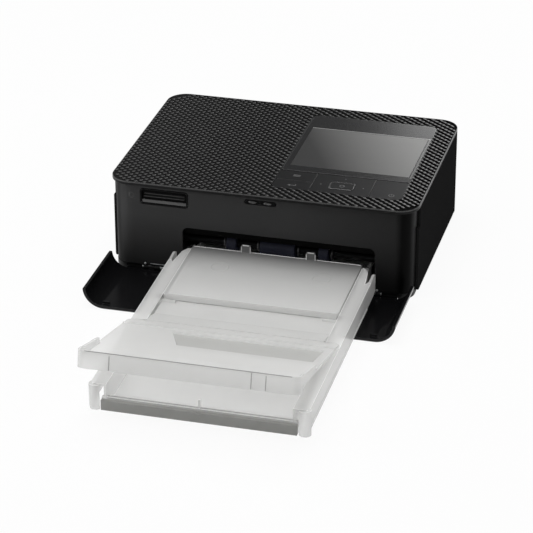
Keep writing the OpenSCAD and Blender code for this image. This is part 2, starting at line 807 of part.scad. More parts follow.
module exit_guide() {
  t = 1.5;
  z0 = path_z - 2.4;
  y0 = platen_y + platen_r + t;
  y1 = plate_y1 - 0.6;
  gap = capstan_r + 0.6;
  ya = capstan_y - gap;
  yb = capstan_y + gap;
  trough = capstan_z - gap;
  color("#18181a") along_x(in_x0 + plate_t, in_x1) polygon([
    [y0, z0], [ya - t, z0], [ya - t, trough - t], [yb + t, trough - t], [yb + t, z0], [y1, z0],
    [y1, z0 + t], [yb, z0 + t], [yb, trough], [ya, trough], [ya, z0 + t], [y0, z0 + t]
  ]);
}

module cassette_guides() {
  y1 = cas_in + 1.5;
  color("#121213") {
    for (s = [-1, 1]) {
      edge = cas_x + s * (rail_in + 0.35);
      side = s < 0 ? in_x0 + plate_t : in_x1;
      x0 = min(edge, side);
      x1 = max(edge, side);
      box([x0, plate_y0 + 8.2, floor_top], [x1, y1, floor_top + 1.8]);
      box([s < 0 ? edge - 1.4 : edge, plate_y0 + 8.2, floor_top],
          [s < 0 ? edge : edge + 1.4, y1, 13]);
    }
  }
}

// ---------- rollers, head and drive ----------

module pickup_roller() {
  color("#232a40") {
    bar_x(pick_x - pick_mid_w / 2, pick_x + pick_mid_w / 2, pick_y, pick_z, pick_r);
    for (s = [-1, 1]) {
      bar_x(pick_x + s * side_pick_x - pick_side_w / 2, pick_x + s * side_pick_x + pick_side_w / 2,
            pick_y, pick_z, pick_r);
    }
  }
  color("#b9bcbf") {
    bar_x(in_x0 - 1, in_x1 + plate_t + 1, pick_y, pick_z, pick_shaft_r);
    for (x = [pick_x - pick_mid_w / 2 - 2.2, pick_x + pick_mid_w / 2 + 1.2,
              pick_x - side_pick_x - pick_side_w / 2 - 2.2, pick_x + side_pick_x + pick_side_w / 2 + 1.2]) {
      bar_x(x, x + 1, pick_y, pick_z, clip_r);
    }
  }
}

module platen_roller() {
  color("#2c2c2e") bar_x(in_x0 + plate_t + 1.5, in_x1 - 1.5, platen_y, platen_z, platen_r);
  color("#b9bcbf") bar_x(in_x0 - 1, in_x1 + plate_t + 1, platen_y, platen_z, platen_shaft_r);
}

module capstan() {
  color("#c3c6c9") {
    bar_x(in_x0 + plate_t + 1, in_x1 - 1, capstan_y, capstan_z, capstan_r);
    bar_x(pulley_x1 - pulley_w - 0.5, in_x1 + plate_t + 1, capstan_y, capstan_z, capstan_r - 0.5);
  }
  color("#d8d8d6") bar_x(pulley_x1 - pulley_w, pulley_x1, capstan_y, capstan_z, pulley_b);
}

module pinch_roller() {
  color("#6d7073") {
    bar_x(in_x0 + plate_t + 1, in_x1 - 1, capstan_y, pinch_z, pinch_r);
    bar_x(in_x0 - 0.5, in_x1 + plate_t + 1, capstan_y, pinch_z, pinch_r - 1);
  }
}

head_half = 5.4;
head_x0 = ribbon_x0 + 6;
head_x1 = ribbon_x1 - 6;

module thermal_head() {
  color("#8f9396") difference() {
    union() {
      box([head_x0, platen_y - head_half, path_z + 3.4], [head_x1, platen_y + head_half, path_z + 6.6]);
      for (k = [0:4]) {
        y = platen_y - head_half + k * 2.3;
        box([head_x0, y, path_z + 6.6 - eps], [head_x1, y + 1.2, path_z + 12]);
      }
      box([head_x0 + 4, platen_y - 1.2, path_z + 0.9], [head_x1 - 4, platen_y + 1.2, path_z + 3.4 + eps]);
      for (x = [head_x0, head_x1 - 3]) {
        box([x, platen_y, path_z + 12 - eps], [x + 3, head_pin_y, head_pin_z + 2.4]);
        box([x, platen_y, path_z + 9], [x + 3, platen_y + 4, path_z + 12]);
        bar_x(x, x + 3, head_pin_y, head_pin_z, 2.4);
      }
    }
    bar_x(head_x0 - 1, head_x1 + 1, head_pin_y, head_pin_z, 1.2 + run_gap);
  }
}

module head_pin() {
  color("#b9bcbf") bar_x(in_x0, in_x1 + plate_t, head_pin_y, head_pin_z, 1.2);
}

motor_x1 = pulley_x1 - pulley_w - 1.6;

module drive_motor() {
  color("#b0b3b6") difference() {
    union() {
      bar_x(motor_x1 - motor_l, motor_x1, motor_y, motor_z, motor_r);
      box([motor_x1 - 1, motor_y - motor_r - 1, motor_z - motor_r], [motor_x1, motor_y + motor_r + 1, motor_z + motor_r]);
      box([motor_x1 - motor_l + 2, motor_y - 6, floor_top], [motor_x1 - 2, motor_y + 6, motor_z - motor_r + 1]);
    }
    bar_x(motor_x1 - 6, motor_x1 + 1, motor_y, motor_z, motor_shaft_r + run_gap);
  }
}

module motor_pulley() {
  color("#d8d8d6") bar_x(pulley_x1 - pulley_w, pulley_x1, motor_y, motor_z, pulley_a);
  color("#b9bcbf") bar_x(motor_x1 - 5, pulley_x1 - pulley_w + eps, motor_y, motor_z, motor_shaft_r);
}

module drive_belt() {
  dy = motor_y - capstan_y;
  dz = motor_z - capstan_z;
  span = sqrt(dy * dy + dz * dz);
  turn = atan2(dz, dy);
  ra = pulley_a + belt_gap;
  rb = pulley_b + belt_gap;
  color("#0d0d0d") along_x(pulley_x1 - pulley_w + 0.5, pulley_x1 - 0.5) {
    translate([capstan_y, capstan_z]) rotate(turn) difference() {
      belt_loop(rb + belt_t, ra + belt_t, span);
      belt_loop(rb, ra, span);
    }
  }
}

// Filled outline round two pulleys: rb at the origin, ra at a distance along X
module belt_loop(rb, ra, span) {
  hull() {
    circle(rb);
    translate([span, 0]) circle(ra);
  }
}

// ---------- electronics and ports ----------

usb_y = -18;
usb_z = 22;
dc_x = -half_w + 28.6;
dc_z = 15;
usb_c_x = -half_w + 18.1;
board_x0 = -half_w + wall + 1.6;
board_x1 = in_x0 - 7.6;
main_z = 34;

module main_board() {
  color("#1f5a38") {
    box([board_x0, -32, main_z], [board_x1, half_d - wall - corner_r, main_z + 1.4]);
    for (p = [[7.7, -12, 10], [11.7, 8, 14], [5.7, 34, 8], [15.7, 40, 9]]) {
      x = board_x0 + p[0];
      box([x, p[1], main_z + 1.4 - eps], [x + p[2], p[1] + p[2], main_z + 3]);
    }
  }
  color("#8b8e90") for (p = [[19.7, -20], [3.7, 26]]) {
    translate([board_x0 + p[0], p[1], main_z + 1.4 - eps]) cylinder(h = 9, r = 3);
  }
  color("#2b2b2d") for (x = [board_x0 + 3, board_x1 - 3], y = [-29.5, 34]) {
    translate([x, y, floor_top]) cylinder(h = main_z - floor_top + eps, r = 2);
  }
}

module usb_a_port() {
  x0 = -half_w + 0.4;
  color("#b4b7ba") difference() {
    box([x0, usb_y - 6.6, usb_z - 2.9], [x0 + 14, usb_y + 6.6, usb_z + 2.9]);
    box([x0 - 1, usb_y - 6.1, usb_z - 2.4], [x0 + 12, usb_y + 6.1, usb_z + 2.4]);
  }
  color("#e8e8e6") box([x0 + 1.5, usb_y - 5.4, usb_z + 0.4], [x0 + 12 + eps, usb_y + 5.4, usb_z + 2]);
  color("#1f5a38") box([x0 + 4, usb_y - 9, usb_z - 4.4], [x0 + 20, usb_y + 9, usb_z - 2.9 + eps]);
  color("#2b2b2d") box([x0 + 6, usb_y - 4, floor_top], [x0 + 12, usb_y + 4, usb_z - 4.4 + eps]);
}

module usb_c_port() {
  y1 = half_d - 0.4;
  color("#b4b7ba") difference() {
    along_y(y1 - 8, y1) rounded(usb_c_x - 4.5, usb_c_x + 4.5, dc_z - 1.6, dc_z + 1.6, 1.5);
    along_y(y1 - 6.5, y1 + 1) rounded(usb_c_x - 4.1, usb_c_x + 4.1, dc_z - 1.2, dc_z + 1.2, 1.1);
  }
  color("#2a2a2a") {
    box([usb_c_x - 3.2, y1 - 6.5 - eps, dc_z - 0.35], [usb_c_x + 3.2, y1 - 0.8, dc_z + 0.35]);
    box([usb_c_x - 4.8, y1 - 14, dc_z - 3], [usb_c_x + 4.8, half_d - wall, dc_z - 1.6 + eps]);
    box([usb_c_x - 2, y1 - 12, floor_top], [usb_c_x + 2, y1 - 8, dc_z - 3 + eps]);
  }
}

module dc_jack() {
  y1 = half_d - 0.5;
  color("#151515") difference() {
    union() {
      along_y(y1 - 11, y1) translate([dc_x, dc_z]) circle(3.5);
      box([dc_x - 5, y1 - 13, floor_top], [dc_x + 5, half_d - wall, dc_z + 4.6]);
    }
    along_y(y1 - 9, y1 + 1) translate([dc_x, dc_z]) circle(2.8);
  }
  color("#c9cbcd") along_y(y1 - 9 - eps, y1 - 1) translate([dc_x, dc_z]) circle(0.8);
}

// ---------- ribbon cartridge ----------

module ribbon_cartridge() {
  bridge_w = 5;
  color("#3a3a3d") difference() {
    union() {
      for (y = [supply_y, takeup_y]) bar_x(ribbon_x0, ribbon_x1, y, spool_z, case_r);
      for (x = [ribbon_x0, ribbon_x1 - bridge_w]) {
        box([x, supply_y, spool_z + bridge_z], [x + bridge_w, takeup_y, spool_z + bridge_z + bridge_h]);
      }
      box([ribbon_x1 - eps, supply_y, spool_z + bridge_z], [ribbon_end, takeup_y, spool_z + bridge_z + bridge_h]);
      for (y = [supply_y, takeup_y]) bar_x(ribbon_x1 - eps, ribbon_end, y, spool_z, case_r);
    }
    for (y = [supply_y, takeup_y]) {
      bar_x(ribbon_x0 + 2, ribbon_x1 - 2, y, spool_z, case_r - case_t);
      bar_x(ribbon_x0 - 1, ribbon_x1 + 4, y, spool_z, 2 + run_gap);
    }
    box([ribbon_x0 + 4, supply_y + 2, spool_z - case_r - 1], [ribbon_x1 - 4, supply_y + 6, spool_z - 4]);
    box([ribbon_x0 + 4, takeup_y - 6, spool_z - case_r - 1], [ribbon_x1 - 4, takeup_y - 2, spool_z - 4]);
  }
}

module spool(y, film_r) {
  color("#d9d9d5") bar_x(in_x0 - 1, ribbon_x1 + 3, y, spool_z, 2);
  color("#2f2b33") bar_x(ribbon_x0 + 6, ribbon_x1 - 6, y, spool_z, film_r);
  color("#d9d9d5") for (x = [ribbon_x0 + 4.4, ribbon_x1 - 5.6]) bar_x(x, x + 1.2, y, spool_z, case_r - case_t - 0.4);
}

module supply_spool() {
  spool(supply_y, supply_r);
}

module takeup_spool() {
  spool(takeup_y, takeup_r);
}

module ribbon_film() {
  pin_a = platen_y - 4.2;
  pin_b = platen_y + 4.2;
  z = path_z + 0.35;
  film = 0.3;
  end_z = spool_z - case_r + 1.7;
  y0 = supply_y + 3.4;
  y1 = takeup_y - 3.4;
  color("#5a3f4a") along_x(head_x0 + 1, head_x1 - 1) polygon([
    [y0, end_z], [pin_a, z], [pin_b, z], [y1, end_z],
    [y1, end_z + film], [pin_b, z + film], [pin_a, z + film], [y0, end_z + film]
  ]);
}

module ribbon_latch() {
  color("#d8d8d6") difference() {
    union() {
      bar_x(latch_x, latch_x + 2, latch_y, spool_z, 3);
      box([latch_x, latch_y - 8.4, spool_z - 1.2], [latch_x + 2, latch_y, spool_z + 1.2]);
      box([latch_x, latch_y - 1.2, spool_z - 11], [latch_x + 2, latch_y + 1.2, spool_z]);
    }
    bar_x(latch_x - 1, latch_x + 3, latch_y, spool_z, 1.2 + run_gap);
  }
}

// ---------- cassette ----------

// Places a cassette piece: its own X is about the middle, Y runs from its front end, Z from its floor
module in_cassette() {
  translate([cas_x, cas_front, cas_z]) rotate([cas_tilt, 0, 0]) children();
}

half_c = cas_w / 2;
slit_x = half_c - tray_t - 1.4;
strip_y1 = inner_pin_y + inner_l - 2;
bar_w = cas_w / 2 - 6.2;

module cassette_tray() {
  color("#d4d6d7") in_cassette() difference() {
    union() {
      box([-rail_in, 2.6, 0], [rail_in, tray_l, tray_t]);
      box([-bar_w, 2.6, 0], [bar_w, 4, bar_h + 1.2]);
      box([-rail_in, 7, 0], [rail_in, 10, 4.6]);
      for (s = [0, 1]) mirror([s, 0, 0]) tray_side();
      box([-rail_in, tray_l - tray_t, 0], [rail_in, tray_l, 4]);
    }
    for (s = [-1, 1]) {
      bar_x(s * rail_in - 2, s * rail_in + 2, flap_pin_y, flap_pin_z, 1.5 + run_gap);
      bar_x(s * rail_in - 2, s * rail_in + 2, inner_pin_y, inner_pin_z, 1.2 + run_gap);
    }
    box([-spring_w / 2 - 2, spring_y0 + 5, -1], [spring_w / 2 + 2, spring_y1 + 1, tray_t + 1]);
    box([-spring_w / 2, spring_y0, spring_z], [spring_w / 2, spring_y0 + 6, spring_z + spring_t]);
  }
}

// Right-hand side of the tray: an inner wall, a rail on top and an outer wall with its wing
module tray_side() {
  along_x(rail_in - tray_t, rail_in) polygon([
    [2.6, 0], [2.6, tray_h - 1.6], [inner_pin_y + inner_l + 1.5, tray_h - 1.6],
    [inner_pin_y + inner_l + 5, low_wall], [tray_l, low_wall], [tray_l, 0]
  ]);
  translate([0, 0, tray_h - tray_t]) linear_extrude(tray_t) polygon([
    [rail_in - tray_t, 2.6], [half_c, 2.6], [half_c, rail_l], [half_c - tray_t, rail_l + 1],
    [slit_x, rail_l - 2], [slit_x - 1.6, strip_y1 - 4.5], [rail_in + 0.4, strip_y1], [rail_in - tray_t, strip_y1]
  ]);
  box([rail_in - tray_t, 2.6, tray_h - 1.6 - eps], [rail_in, strip_y1, tray_h - tray_t + eps]);
  along_x(half_c - tray_t, half_c) polygon([
    [3, wall_bottom], [3, tray_h], [rail_l, tray_h], [rail_l + wing_l - 2.5, tray_h + 0.6],
    [rail_l + wing_l, tray_h - 0.6], [rail_l + wing_l, wall_bottom + 1], [rail_l + 6, wall_bottom]
  ]);
  box([half_c - tray_t, 3, wall_bottom], [half_c + 0.4, rail_l - 10, wall_bottom + 1.2]);
  linear_extrude(tray_h) difference() {
    rounded(bar_w + 1, half_c, 0, 12, 3);
    rounded(bar_w - 3, half_c - tray_t, tray_t, 12, 1.6);
    translate([bar_w, 6]) square([10, 10]);
  }
}

module front_bar() {
  color("#84847f") in_cassette() difference() {
    box([-bar_w, 0.2, 0.2], [bar_w, 2.6, bar_h + 0.2]);
    box([-1.5, -1, bar_h - 0.6], [1.5, 1, bar_h + 1]);
  }
}

module inner_cover() {
  y1 = inner_pin_y + inner_l;
  hole = 1.2 + run_gap;
  color("#cfd1d2") in_cassette() {
    difference() {
      union() {
        translate([0, 0, inner_top - 1.4]) linear_extrude(1.4) rounded(-cover_in, cover_in, inner_pin_y - 3.4, y1, 1);
        for (s = [-1, 1]) {
          box([s < 0 ? -cover_in : cover_in - 1.4, inner_pin_y - 2, inner_top - 4.6],
              [s < 0 ? -cover_in + 1.4 : cover_in, y1 - 2, inner_top - 1.2]);
          bar_x(s < 0 ? -rail_in + 0.4 : cover_in - 1.4, s < 0 ? -cover_in + 1.4 : rail_in - 0.4,
                inner_pin_y, inner_pin_z, 1.2);
        }
        box([-cover_in, y1 - 1.2, inner_top - 3.4], [cover_in, y1, inner_top - 1.2]);
        box([-cover_in, inner_pin_y - 3.4, flap_pin_z + 0.3], [cover_in, inner_pin_y - 2.4, inner_top - 1.2]);
        for (x = [-18.2, 20.2]) along_y(y1 - 1.2, y1) rounded(x - 2.8, x + 2.8, inner_top - 3, inner_top + 4.6, 1.2);
      }
      for (x = [-27.5, 32]) translate([x, inner_pin_y + 34, inner_top - 0.3]) difference() {
        cylinder(h = 1, r = 5.4);
        translate([0, 0, -1]) cylinder(h = 3, r = 4.6);
      }
    }
  }
}

// Ring-shaped lip with round front corners, in the sloping cover's own plane
module lip_outline(back) {
  intersection() {
    difference() {
      rounded(-half_c, half_c, -flap_l - tray_t, -40, 4);
      rounded(-half_c + tray_t, half_c - tray_t, -flap_l, -41, 2.5);
    }
    translate([-half_c - 1, -flap_l - 3]) square([cas_w + 2, flap_l + 3 - back]);
  }
}

// Point of the sloping part of the outer cover, in the cassette's own Y and Z
function on_flap(y, z) = [
  flap_root_y + y * cos(flap_slope) + z * sin(flap_slope),
  flap_root_top - y * sin(flap_slope) + z * cos(flap_slope)
];

module outer_cover() {
  narrow = rail_in - tray_t - 0.4;
  step = 16;
  root_y1 = flap_pin_y + 1.5;
  color("#d6d8d9") in_cassette() {
    difference() {
      union() {
        along_x(-narrow, narrow) polygon([
          [root_y1, flap_root_top - tray_t], [root_y1, flap_root_top], [flap_root_y, flap_root_top],
          on_flap(-step - 1, 0), on_flap(-step - 1, -tray_t),
          [flap_root_y - tray_t * tan(flap_slope / 2), flap_root_top - tray_t]
        ]);
        for (s = [-1, 1]) {
          bar_x(s < 0 ? -narrow : narrow - 8, s < 0 ? -narrow + 8 : narrow, flap_pin_y, flap_pin_z, 2.1);
          bar_x(s < 0 ? -rail_in + 0.3 : narrow - 1, s < 0 ? -narrow + 1 : rail_in - 0.3, flap_pin_y, flap_pin_z, 1.5);
        }
        translate([0, flap_root_y, flap_root_top]) rotate([-flap_slope, 0, 0]) {
          difference() {
            translate([0, 0, -tray_t]) linear_extrude(tray_t) rounded(-half_c, half_c, -flap_l - 1, -step, 5);
            translate([0, 0, -recess_t]) linear_extrude(tray_t) polygon([
              [-29, -step - 18.5], [54.5, -step - 18.5], [54, -step - 43], [-19.5, -step - 43]
            ]);
          }
          box([-half_c, -step - 12, -eps], [half_c, -step - 10.8, 0.5]);
          translate([0, 0, -lip_h / 2]) linear_extrude(lip_h) lip_outline(flap_l - 6);
          translate([0, 0, -eps]) intersection() {
            linear_extrude(lip_h / 2 + eps) lip_outline(flap_l - 33.6);
            along_x(-half_c - 1, half_c + 1) polygon([
              [-flap_l - 3, -1], [-flap_l + 33.6, -1], [-flap_l + 33.6, 2.9], [-flap_l + 30.6, 3.3],
              [-flap_l - 3, lip_h / 2 + 0.1]
            ]);
          }
        }
      }
    }
  }
}

module lift_plate() {
  color("#c9cbcc") in_cassette() difference() {
    box([-rail_in + tray_t + 0.6, lift_y0, tray_t], [rail_in - tray_t - 0.6, lift_y1, tray_t + lift_t]);
    for (x = [-30, 30]) translate([x, lift_hole_y, 0]) cylinder(h = 6, r = lift_hole_r);
  }
}

module lift_spring() {
  color("#b9bcbf") in_cassette() {
    box([-spring_w / 2, spring_y0, spring_z], [spring_w / 2, spring_y0 + 9, spring_z + spring_t]);
    for (s = [0, 1]) mirror([s, 0, 0]) {
      box([spring_w / 2 - 4, spring_y0 + 9 - eps, spring_z], [spring_w / 2, spring_y1 - 3, spring_z + spring_t]);
    }
    box([-spring_w / 2, spring_y1 - 3 - eps, spring_z], [spring_w / 2, spring_y1, tray_t]);
  }
}

// ---------- drawing ----------

placed() base_housing();
placed() front_housing();
placed() top_cover();
placed() left_panel();
placed() rear_panel();
placed() right_rear_panel();
placed() ribbon_door();
placed() ribbon_door_pin();
placed() front_door();
placed() door_rod();
placed() feet();
placed() base_screws();
placed() card_bezel();
placed() card_reader();
placed() lamp_window();
placed() lamp_board();
placed() display_window();
placed() display_module();
placed() key_board();
placed() menu_key();
placed() back_key();
placed() nav_pad();
placed() ok_key();
placed() power_key();
placed() chassis_left();
placed() chassis_right();
placed() chassis_bridge();
placed() guide_beam();
placed() feed_ramp();
placed() exit_guide();
placed() cassette_guides();
placed() pickup_roller();
placed() platen_roller();
placed() capstan();
placed() pinch_roller();
placed() thermal_head();
placed() head_pin();
placed() drive_motor();
placed() motor_pulley();
placed() drive_belt();
placed() main_board();
placed() usb_a_port();
placed() usb_c_port();
placed() dc_jack();
placed() ribbon_cartridge();
placed() supply_spool();
placed() takeup_spool();
placed() ribbon_film();
placed() ribbon_latch();
placed() cassette_tray();
placed() front_bar();
placed() inner_cover();
placed() outer_cover();
placed() lift_plate();
placed() lift_spring();
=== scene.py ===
# Compact photo printer, with its front door laid open and its paper cassette pushed in.
import json
import math

import bmesh
import bpy
from mathutils import Matrix, Vector

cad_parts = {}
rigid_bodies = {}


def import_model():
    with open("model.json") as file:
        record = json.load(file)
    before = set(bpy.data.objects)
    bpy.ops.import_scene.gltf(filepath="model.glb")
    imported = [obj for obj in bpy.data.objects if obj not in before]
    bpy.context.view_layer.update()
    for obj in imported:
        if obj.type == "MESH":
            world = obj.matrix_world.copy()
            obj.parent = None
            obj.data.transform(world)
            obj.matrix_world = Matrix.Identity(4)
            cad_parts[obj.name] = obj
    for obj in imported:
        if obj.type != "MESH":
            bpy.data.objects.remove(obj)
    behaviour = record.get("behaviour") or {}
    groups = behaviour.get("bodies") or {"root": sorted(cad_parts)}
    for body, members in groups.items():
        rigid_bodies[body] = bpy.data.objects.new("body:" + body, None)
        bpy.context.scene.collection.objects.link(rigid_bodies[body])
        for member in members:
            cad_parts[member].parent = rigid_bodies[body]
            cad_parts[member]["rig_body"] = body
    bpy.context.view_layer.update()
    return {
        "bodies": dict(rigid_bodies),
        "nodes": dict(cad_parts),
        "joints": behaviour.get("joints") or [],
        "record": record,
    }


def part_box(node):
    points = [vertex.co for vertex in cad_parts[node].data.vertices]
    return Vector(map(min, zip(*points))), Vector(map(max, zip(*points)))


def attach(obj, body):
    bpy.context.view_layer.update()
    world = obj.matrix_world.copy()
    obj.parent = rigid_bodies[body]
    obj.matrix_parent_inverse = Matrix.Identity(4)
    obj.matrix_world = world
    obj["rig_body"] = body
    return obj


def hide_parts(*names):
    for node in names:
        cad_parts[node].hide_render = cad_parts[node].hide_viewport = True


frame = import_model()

nodes = frame["nodes"]
mm = 0.001
foot_low, foot_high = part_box("feet")
body = Vector(((foot_low.x + foot_high.x) / 2, (foot_low.y + foot_high.y) / 2, 0))

# ---------- camera and lamps ----------
# A table-top studio: a soft box overhead, a tall one on the left, a weak one on
# the right and a low one behind, and a camera with a long lens a little to the
# right.
turn, tilt, roll = (math.radians(angle) for angle in (14.86, 26.87, -0.16))
aim, distance = body + Vector((7.65, -79.73, 20)) * mm, 1454.07
back = Vector((math.sin(turn) * math.cos(tilt), -math.cos(turn) * math.cos(tilt), math.sin(tilt)))
side = Vector((math.cos(turn), math.sin(turn), 0))
top = (-back).cross(side) * -1
across = side * math.cos(roll) + top * math.sin(roll)
upward = top * math.cos(roll) - side * math.sin(roll)
lens = bpy.data.cameras.new("camera")
lens.lens, lens.sensor_width, lens.clip_start = 171.96, 36, 0.05
camera = bpy.data.objects.new("camera", lens)
stand = Matrix.Translation(aim + back * distance * mm)
camera.matrix_world = stand @ Matrix((across, upward, back)).transposed().to_4x4()
bpy.context.scene.collection.objects.link(camera)
bpy.context.scene.camera = camera
bpy.context.scene.view_settings.view_transform = "Standard"


def softbox(name, place, aim, wide, high, watts):
    """A rectangular studio lamp at place, turned towards aim."""
    lamp = bpy.data.lights.new(name, "AREA")
    lamp.shape, lamp.size, lamp.size_y, lamp.energy = "RECTANGLE", wide, high, watts
    box = bpy.data.objects.new(name, lamp)
    box.location = place
    box.rotation_euler = (Vector(aim) - Vector(place)).to_track_quat("-Z", "Y").to_euler()
    bpy.context.scene.collection.objects.link(box)


softbox("overhead", body + Vector((-0.1, 0.0, 1.3)), body, 1.2, 1.0, 13)
softbox("left_tall", body + Vector((-0.75, -0.55, 0.45)), body, 0.3, 0.8, 2.4)
softbox("right_fill", body + Vector((1.0, -0.6, 0.5)), body, 0.6, 0.6, 0.9)
softbox("behind", body + Vector((0.3, 1.2, 0.42)), body + Vector((0, 0, 0.05)), 1.0, 0.4, 4)


# ---------- floor and background ----------
# The printer stands on a plain white sheet that runs on behind it and keeps its
# shadow. The sheet lies a hair lower than the feet, so that the open door's
# underside stays clear of it.
class Wire:
    """One output of a shader node, with maths on it written as sums."""

    def __init__(self, tree, socket=None):
        self.tree, self.socket = tree, socket

    def node(self, kind, settings=None, sockets=None, out=0):
        """Adds a node, settings first, with a value or another wire on each named socket."""
        made = self.tree.nodes.new(kind)
        for key, value in (settings or {}).items():
            if key == "stops":
                ramp = made.color_ramp
                while len(ramp.elements) < len(value):
                    ramp.elements.new(0.5)
                for stop, (place, colour) in zip(ramp.elements, value):
                    stop.position, stop.color = place, colour
            else:
                setattr(made, key, value)
        for key, value in (sockets or {}).items():
            if isinstance(value, Wire):
                self.tree.links.new(value.socket, made.inputs[key])
            else:
                made.inputs[key].default_value = value
        return Wire(self.tree, made.outputs[out])

    def maths(self, operation, a, b=0.0):
        return self.node("ShaderNodeMath", {"operation": operation}, {0: a, 1: b})

    def __add__(self, other):
        return self.maths("ADD", self, other)

    def __radd__(self, other):
        return self.maths("ADD", other, self)

    def __sub__(self, other):
        return self.maths("SUBTRACT", self, other)

    def __rsub__(self, other):
        return self.maths("SUBTRACT", other, self)

    def __mul__(self, other):
        return self.maths("MULTIPLY", self, other)

    def __rmul__(self, other):
        return self.maths("MULTIPLY", other, self)

    def __truediv__(self, other):
        return self.maths("DIVIDE", self, other)

    def __abs__(self):
        return self.maths("ABSOLUTE", self)


floor_reach, floor_drop = 6, 0.4 * mm
floor_white, sky_weak = 0.93, 0.2
floor_sheet = bmesh.new()
bmesh.ops.create_grid(floor_sheet, x_segments=1, y_segments=1, size=floor_reach)
bmesh.ops.translate(floor_sheet, verts=floor_sheet.verts[:], vec=(0, 0, -floor_drop))
floor_mesh = bpy.data.meshes.new("floor")
floor_sheet.to_mesh(floor_mesh)
floor_sheet.free()
floor = bpy.data.objects.new("floor", floor_mesh)
bpy.context.scene.collection.objects.link(floor)
white_floor = bpy.data.materials.new("white_floor")
white_floor.use_nodes = True
tree = white_floor.node_tree
tree.nodes.clear()
rays = Wire(tree).node("ShaderNodeLightPath").socket.node.outputs
seen = Wire(tree, rays["Is Camera Ray"]) + Wire(tree, rays["Is Glossy Ray"]) + Wire(tree, rays["Is Transmission Ray"])
lit = Wire(tree).node("ShaderNodeBsdfDiffuse", sockets={"Color": (0.85, 0.85, 0.85, 1)})
glow = Wire(tree).node("ShaderNodeEmission", sockets={"Color": (1, 1, 1, 1), "Strength": 1.0})
share = seen * floor_white
mixed = Wire(tree).node("ShaderNodeMixShader", sockets={0: share.maths("MINIMUM", share, floor_white), 1: lit, 2: glow})
tree.links.new(mixed.socket, tree.nodes.new("ShaderNodeOutputMaterial").inputs["Surface"])
floor_mesh.materials.append(white_floor)
world = bpy.data.worlds.new("studio")
bpy.context.scene.world = world
world.use_nodes = True
tree = world.node_tree
sky = tree.nodes["Background"]
rays = Wire(tree).node("ShaderNodeLightPath").socket.node.outputs
seen = Wire(tree, rays["Is Camera Ray"]) + Wire(tree, rays["Is Transmission Ray"])
level = seen.maths("MINIMUM", seen, 1.0) * (1 - sky_weak) + sky_weak
tree.links.new(level.socket, sky.inputs["Strength"])
sky.inputs["Color"].default_value = (1, 1, 1, 1)

# ---------- base ----------
# The base is moulded in black ABS with a fine spark-eroded grain. The front and
# the side covers clip to it and to the chassis plates.


def finish(name, colour, **values):
    """A new material: its shader with plain values set, and the object's own coordinates."""
    made = bpy.data.materials.new(name)
    made.use_nodes = True
    shader = made.node_tree.nodes["Principled BSDF"]
    shader.inputs["Base Color"].default_value = (*colour, 1)
    for key, value in values.items():
        shader.inputs[key.replace("_", " ")].default_value = value
    here = Wire(made.node_tree).node("ShaderNodeTexCoord", out=3)
    return made, shader, here


def feed(shader, **wires):
    """Joins wires to a shader's sockets."""
    for key, wire in wires.items():
        wire.tree.links.new(wire.socket, shader.inputs[key.replace("_", " ")])


def grain(here, size, detail=2.0):
    """Noise whose lumps are about size across."""
    return here.node("ShaderNodeTexNoise", None, {"Vector": here, "Scale": 1 / size, "Detail": detail})


def relief(height, depth, strength=1.0):
    """A bump of that depth from a height between 0 and 1."""
    return height.node("ShaderNodeBump", None, {"Height": height, "Distance": depth, "Strength": strength})


def tint(factor, a, b):
    """A colour between a and b, each a colour or a wire."""
    a, b = (end if isinstance(end, Wire) else (*end, 1) for end in (a, b))
    return factor.node("ShaderNodeMix", {"data_type": "RGBA"}, {0: factor, 6: a, 7: b}, 2)


def merged(node):
    """The form of a solid, its loose triangles joined and its flats made whole."""
    form = bmesh.new()
    form.from_mesh(nodes[node].data)
    bmesh.ops.remove_doubles(form, verts=form.verts, dist=1e-6)
    bmesh.ops.dissolve_limit(form, angle_limit=math.radians(0.5), verts=form.verts, edges=form.edges)
    for face in form.faces:
        face.material_index = 0
    return form


def piece_of(form, name, materials, rides):
    """Makes a piece of a finished form and lets it ride on a body."""
    mesh = bpy.data.meshes.new(name)
    form.to_mesh(mesh)
    form.free()
    for material in materials:
        mesh.materials.append(material)
    piece = bpy.data.objects.new(name, mesh)
    bpy.context.scene.collection.objects.link(piece)
    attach(piece, rides)
    return piece


def soften(piece, edge, angle=35):
    """Soft moulded edges on a piece, with its flats kept flat."""
    for face in piece.data.polygons:
        face.use_smooth = True
    round_off = piece.modifiers.new("soft_edges", "BEVEL")
    round_off.width, round_off.segments, round_off.limit_method = edge, 2, "ANGLE"
    round_off.angle_limit, round_off.use_clamp_overlap = math.radians(angle), False
    even = piece.modifiers.new("even_shading", "WEIGHTED_NORMAL")
    even.weight, even.keep_sharp = 50, False
    return piece


def moulding(node, name, edge, material):
    """A piece with a solid's own form and soft edges, in that solid's place."""
    piece = piece_of(merged(node), name, [material], nodes[node]["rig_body"])
    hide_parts(node)
    return soften(piece, edge)


cover_edge_width = 0.3 * mm
spark_size, spark_depth = 0.35 * mm, 0.012 * mm
shell_black, shader, here = finish("shell_black", (0.009, 0.009, 0.0092), Specular_IOR_Level=0.12)
pores = grain(here, spark_size)
feed(shader, Normal=relief(pores, spark_depth, 0.35), Roughness=0.36 + 0.1 * grain(here, 4 * mm),
     Base_Color=tint(pores, (0.007, 0.007, 0.0072), (0.012, 0.012, 0.0122)))
moulding("base_housing", "base", cover_edge_width, shell_black)

# ---------- front cover ----------
# The front is a moulding of its own in the same ABS, bent round both corners. Its colour is painted with light and
# shade: paler along the top and on the left, with a painted highlight near its left corner and a thin one at its right
# corner, painted shade towards the bottom and the right, and nearly black just inside its right corner.


def axis(here, number):
    """A point's place along X, Y or Z, which are 0, 1 and 2."""
    return here.node("ShaderNodeSeparateXYZ", None, {0: here}, number)


def from_left(here, reach):
    """How far along the printer's width a point lies: 0 and 1 are at that reach from the middle."""
    return (axis(here, 0) - (body.x - reach)) / (2 * reach)


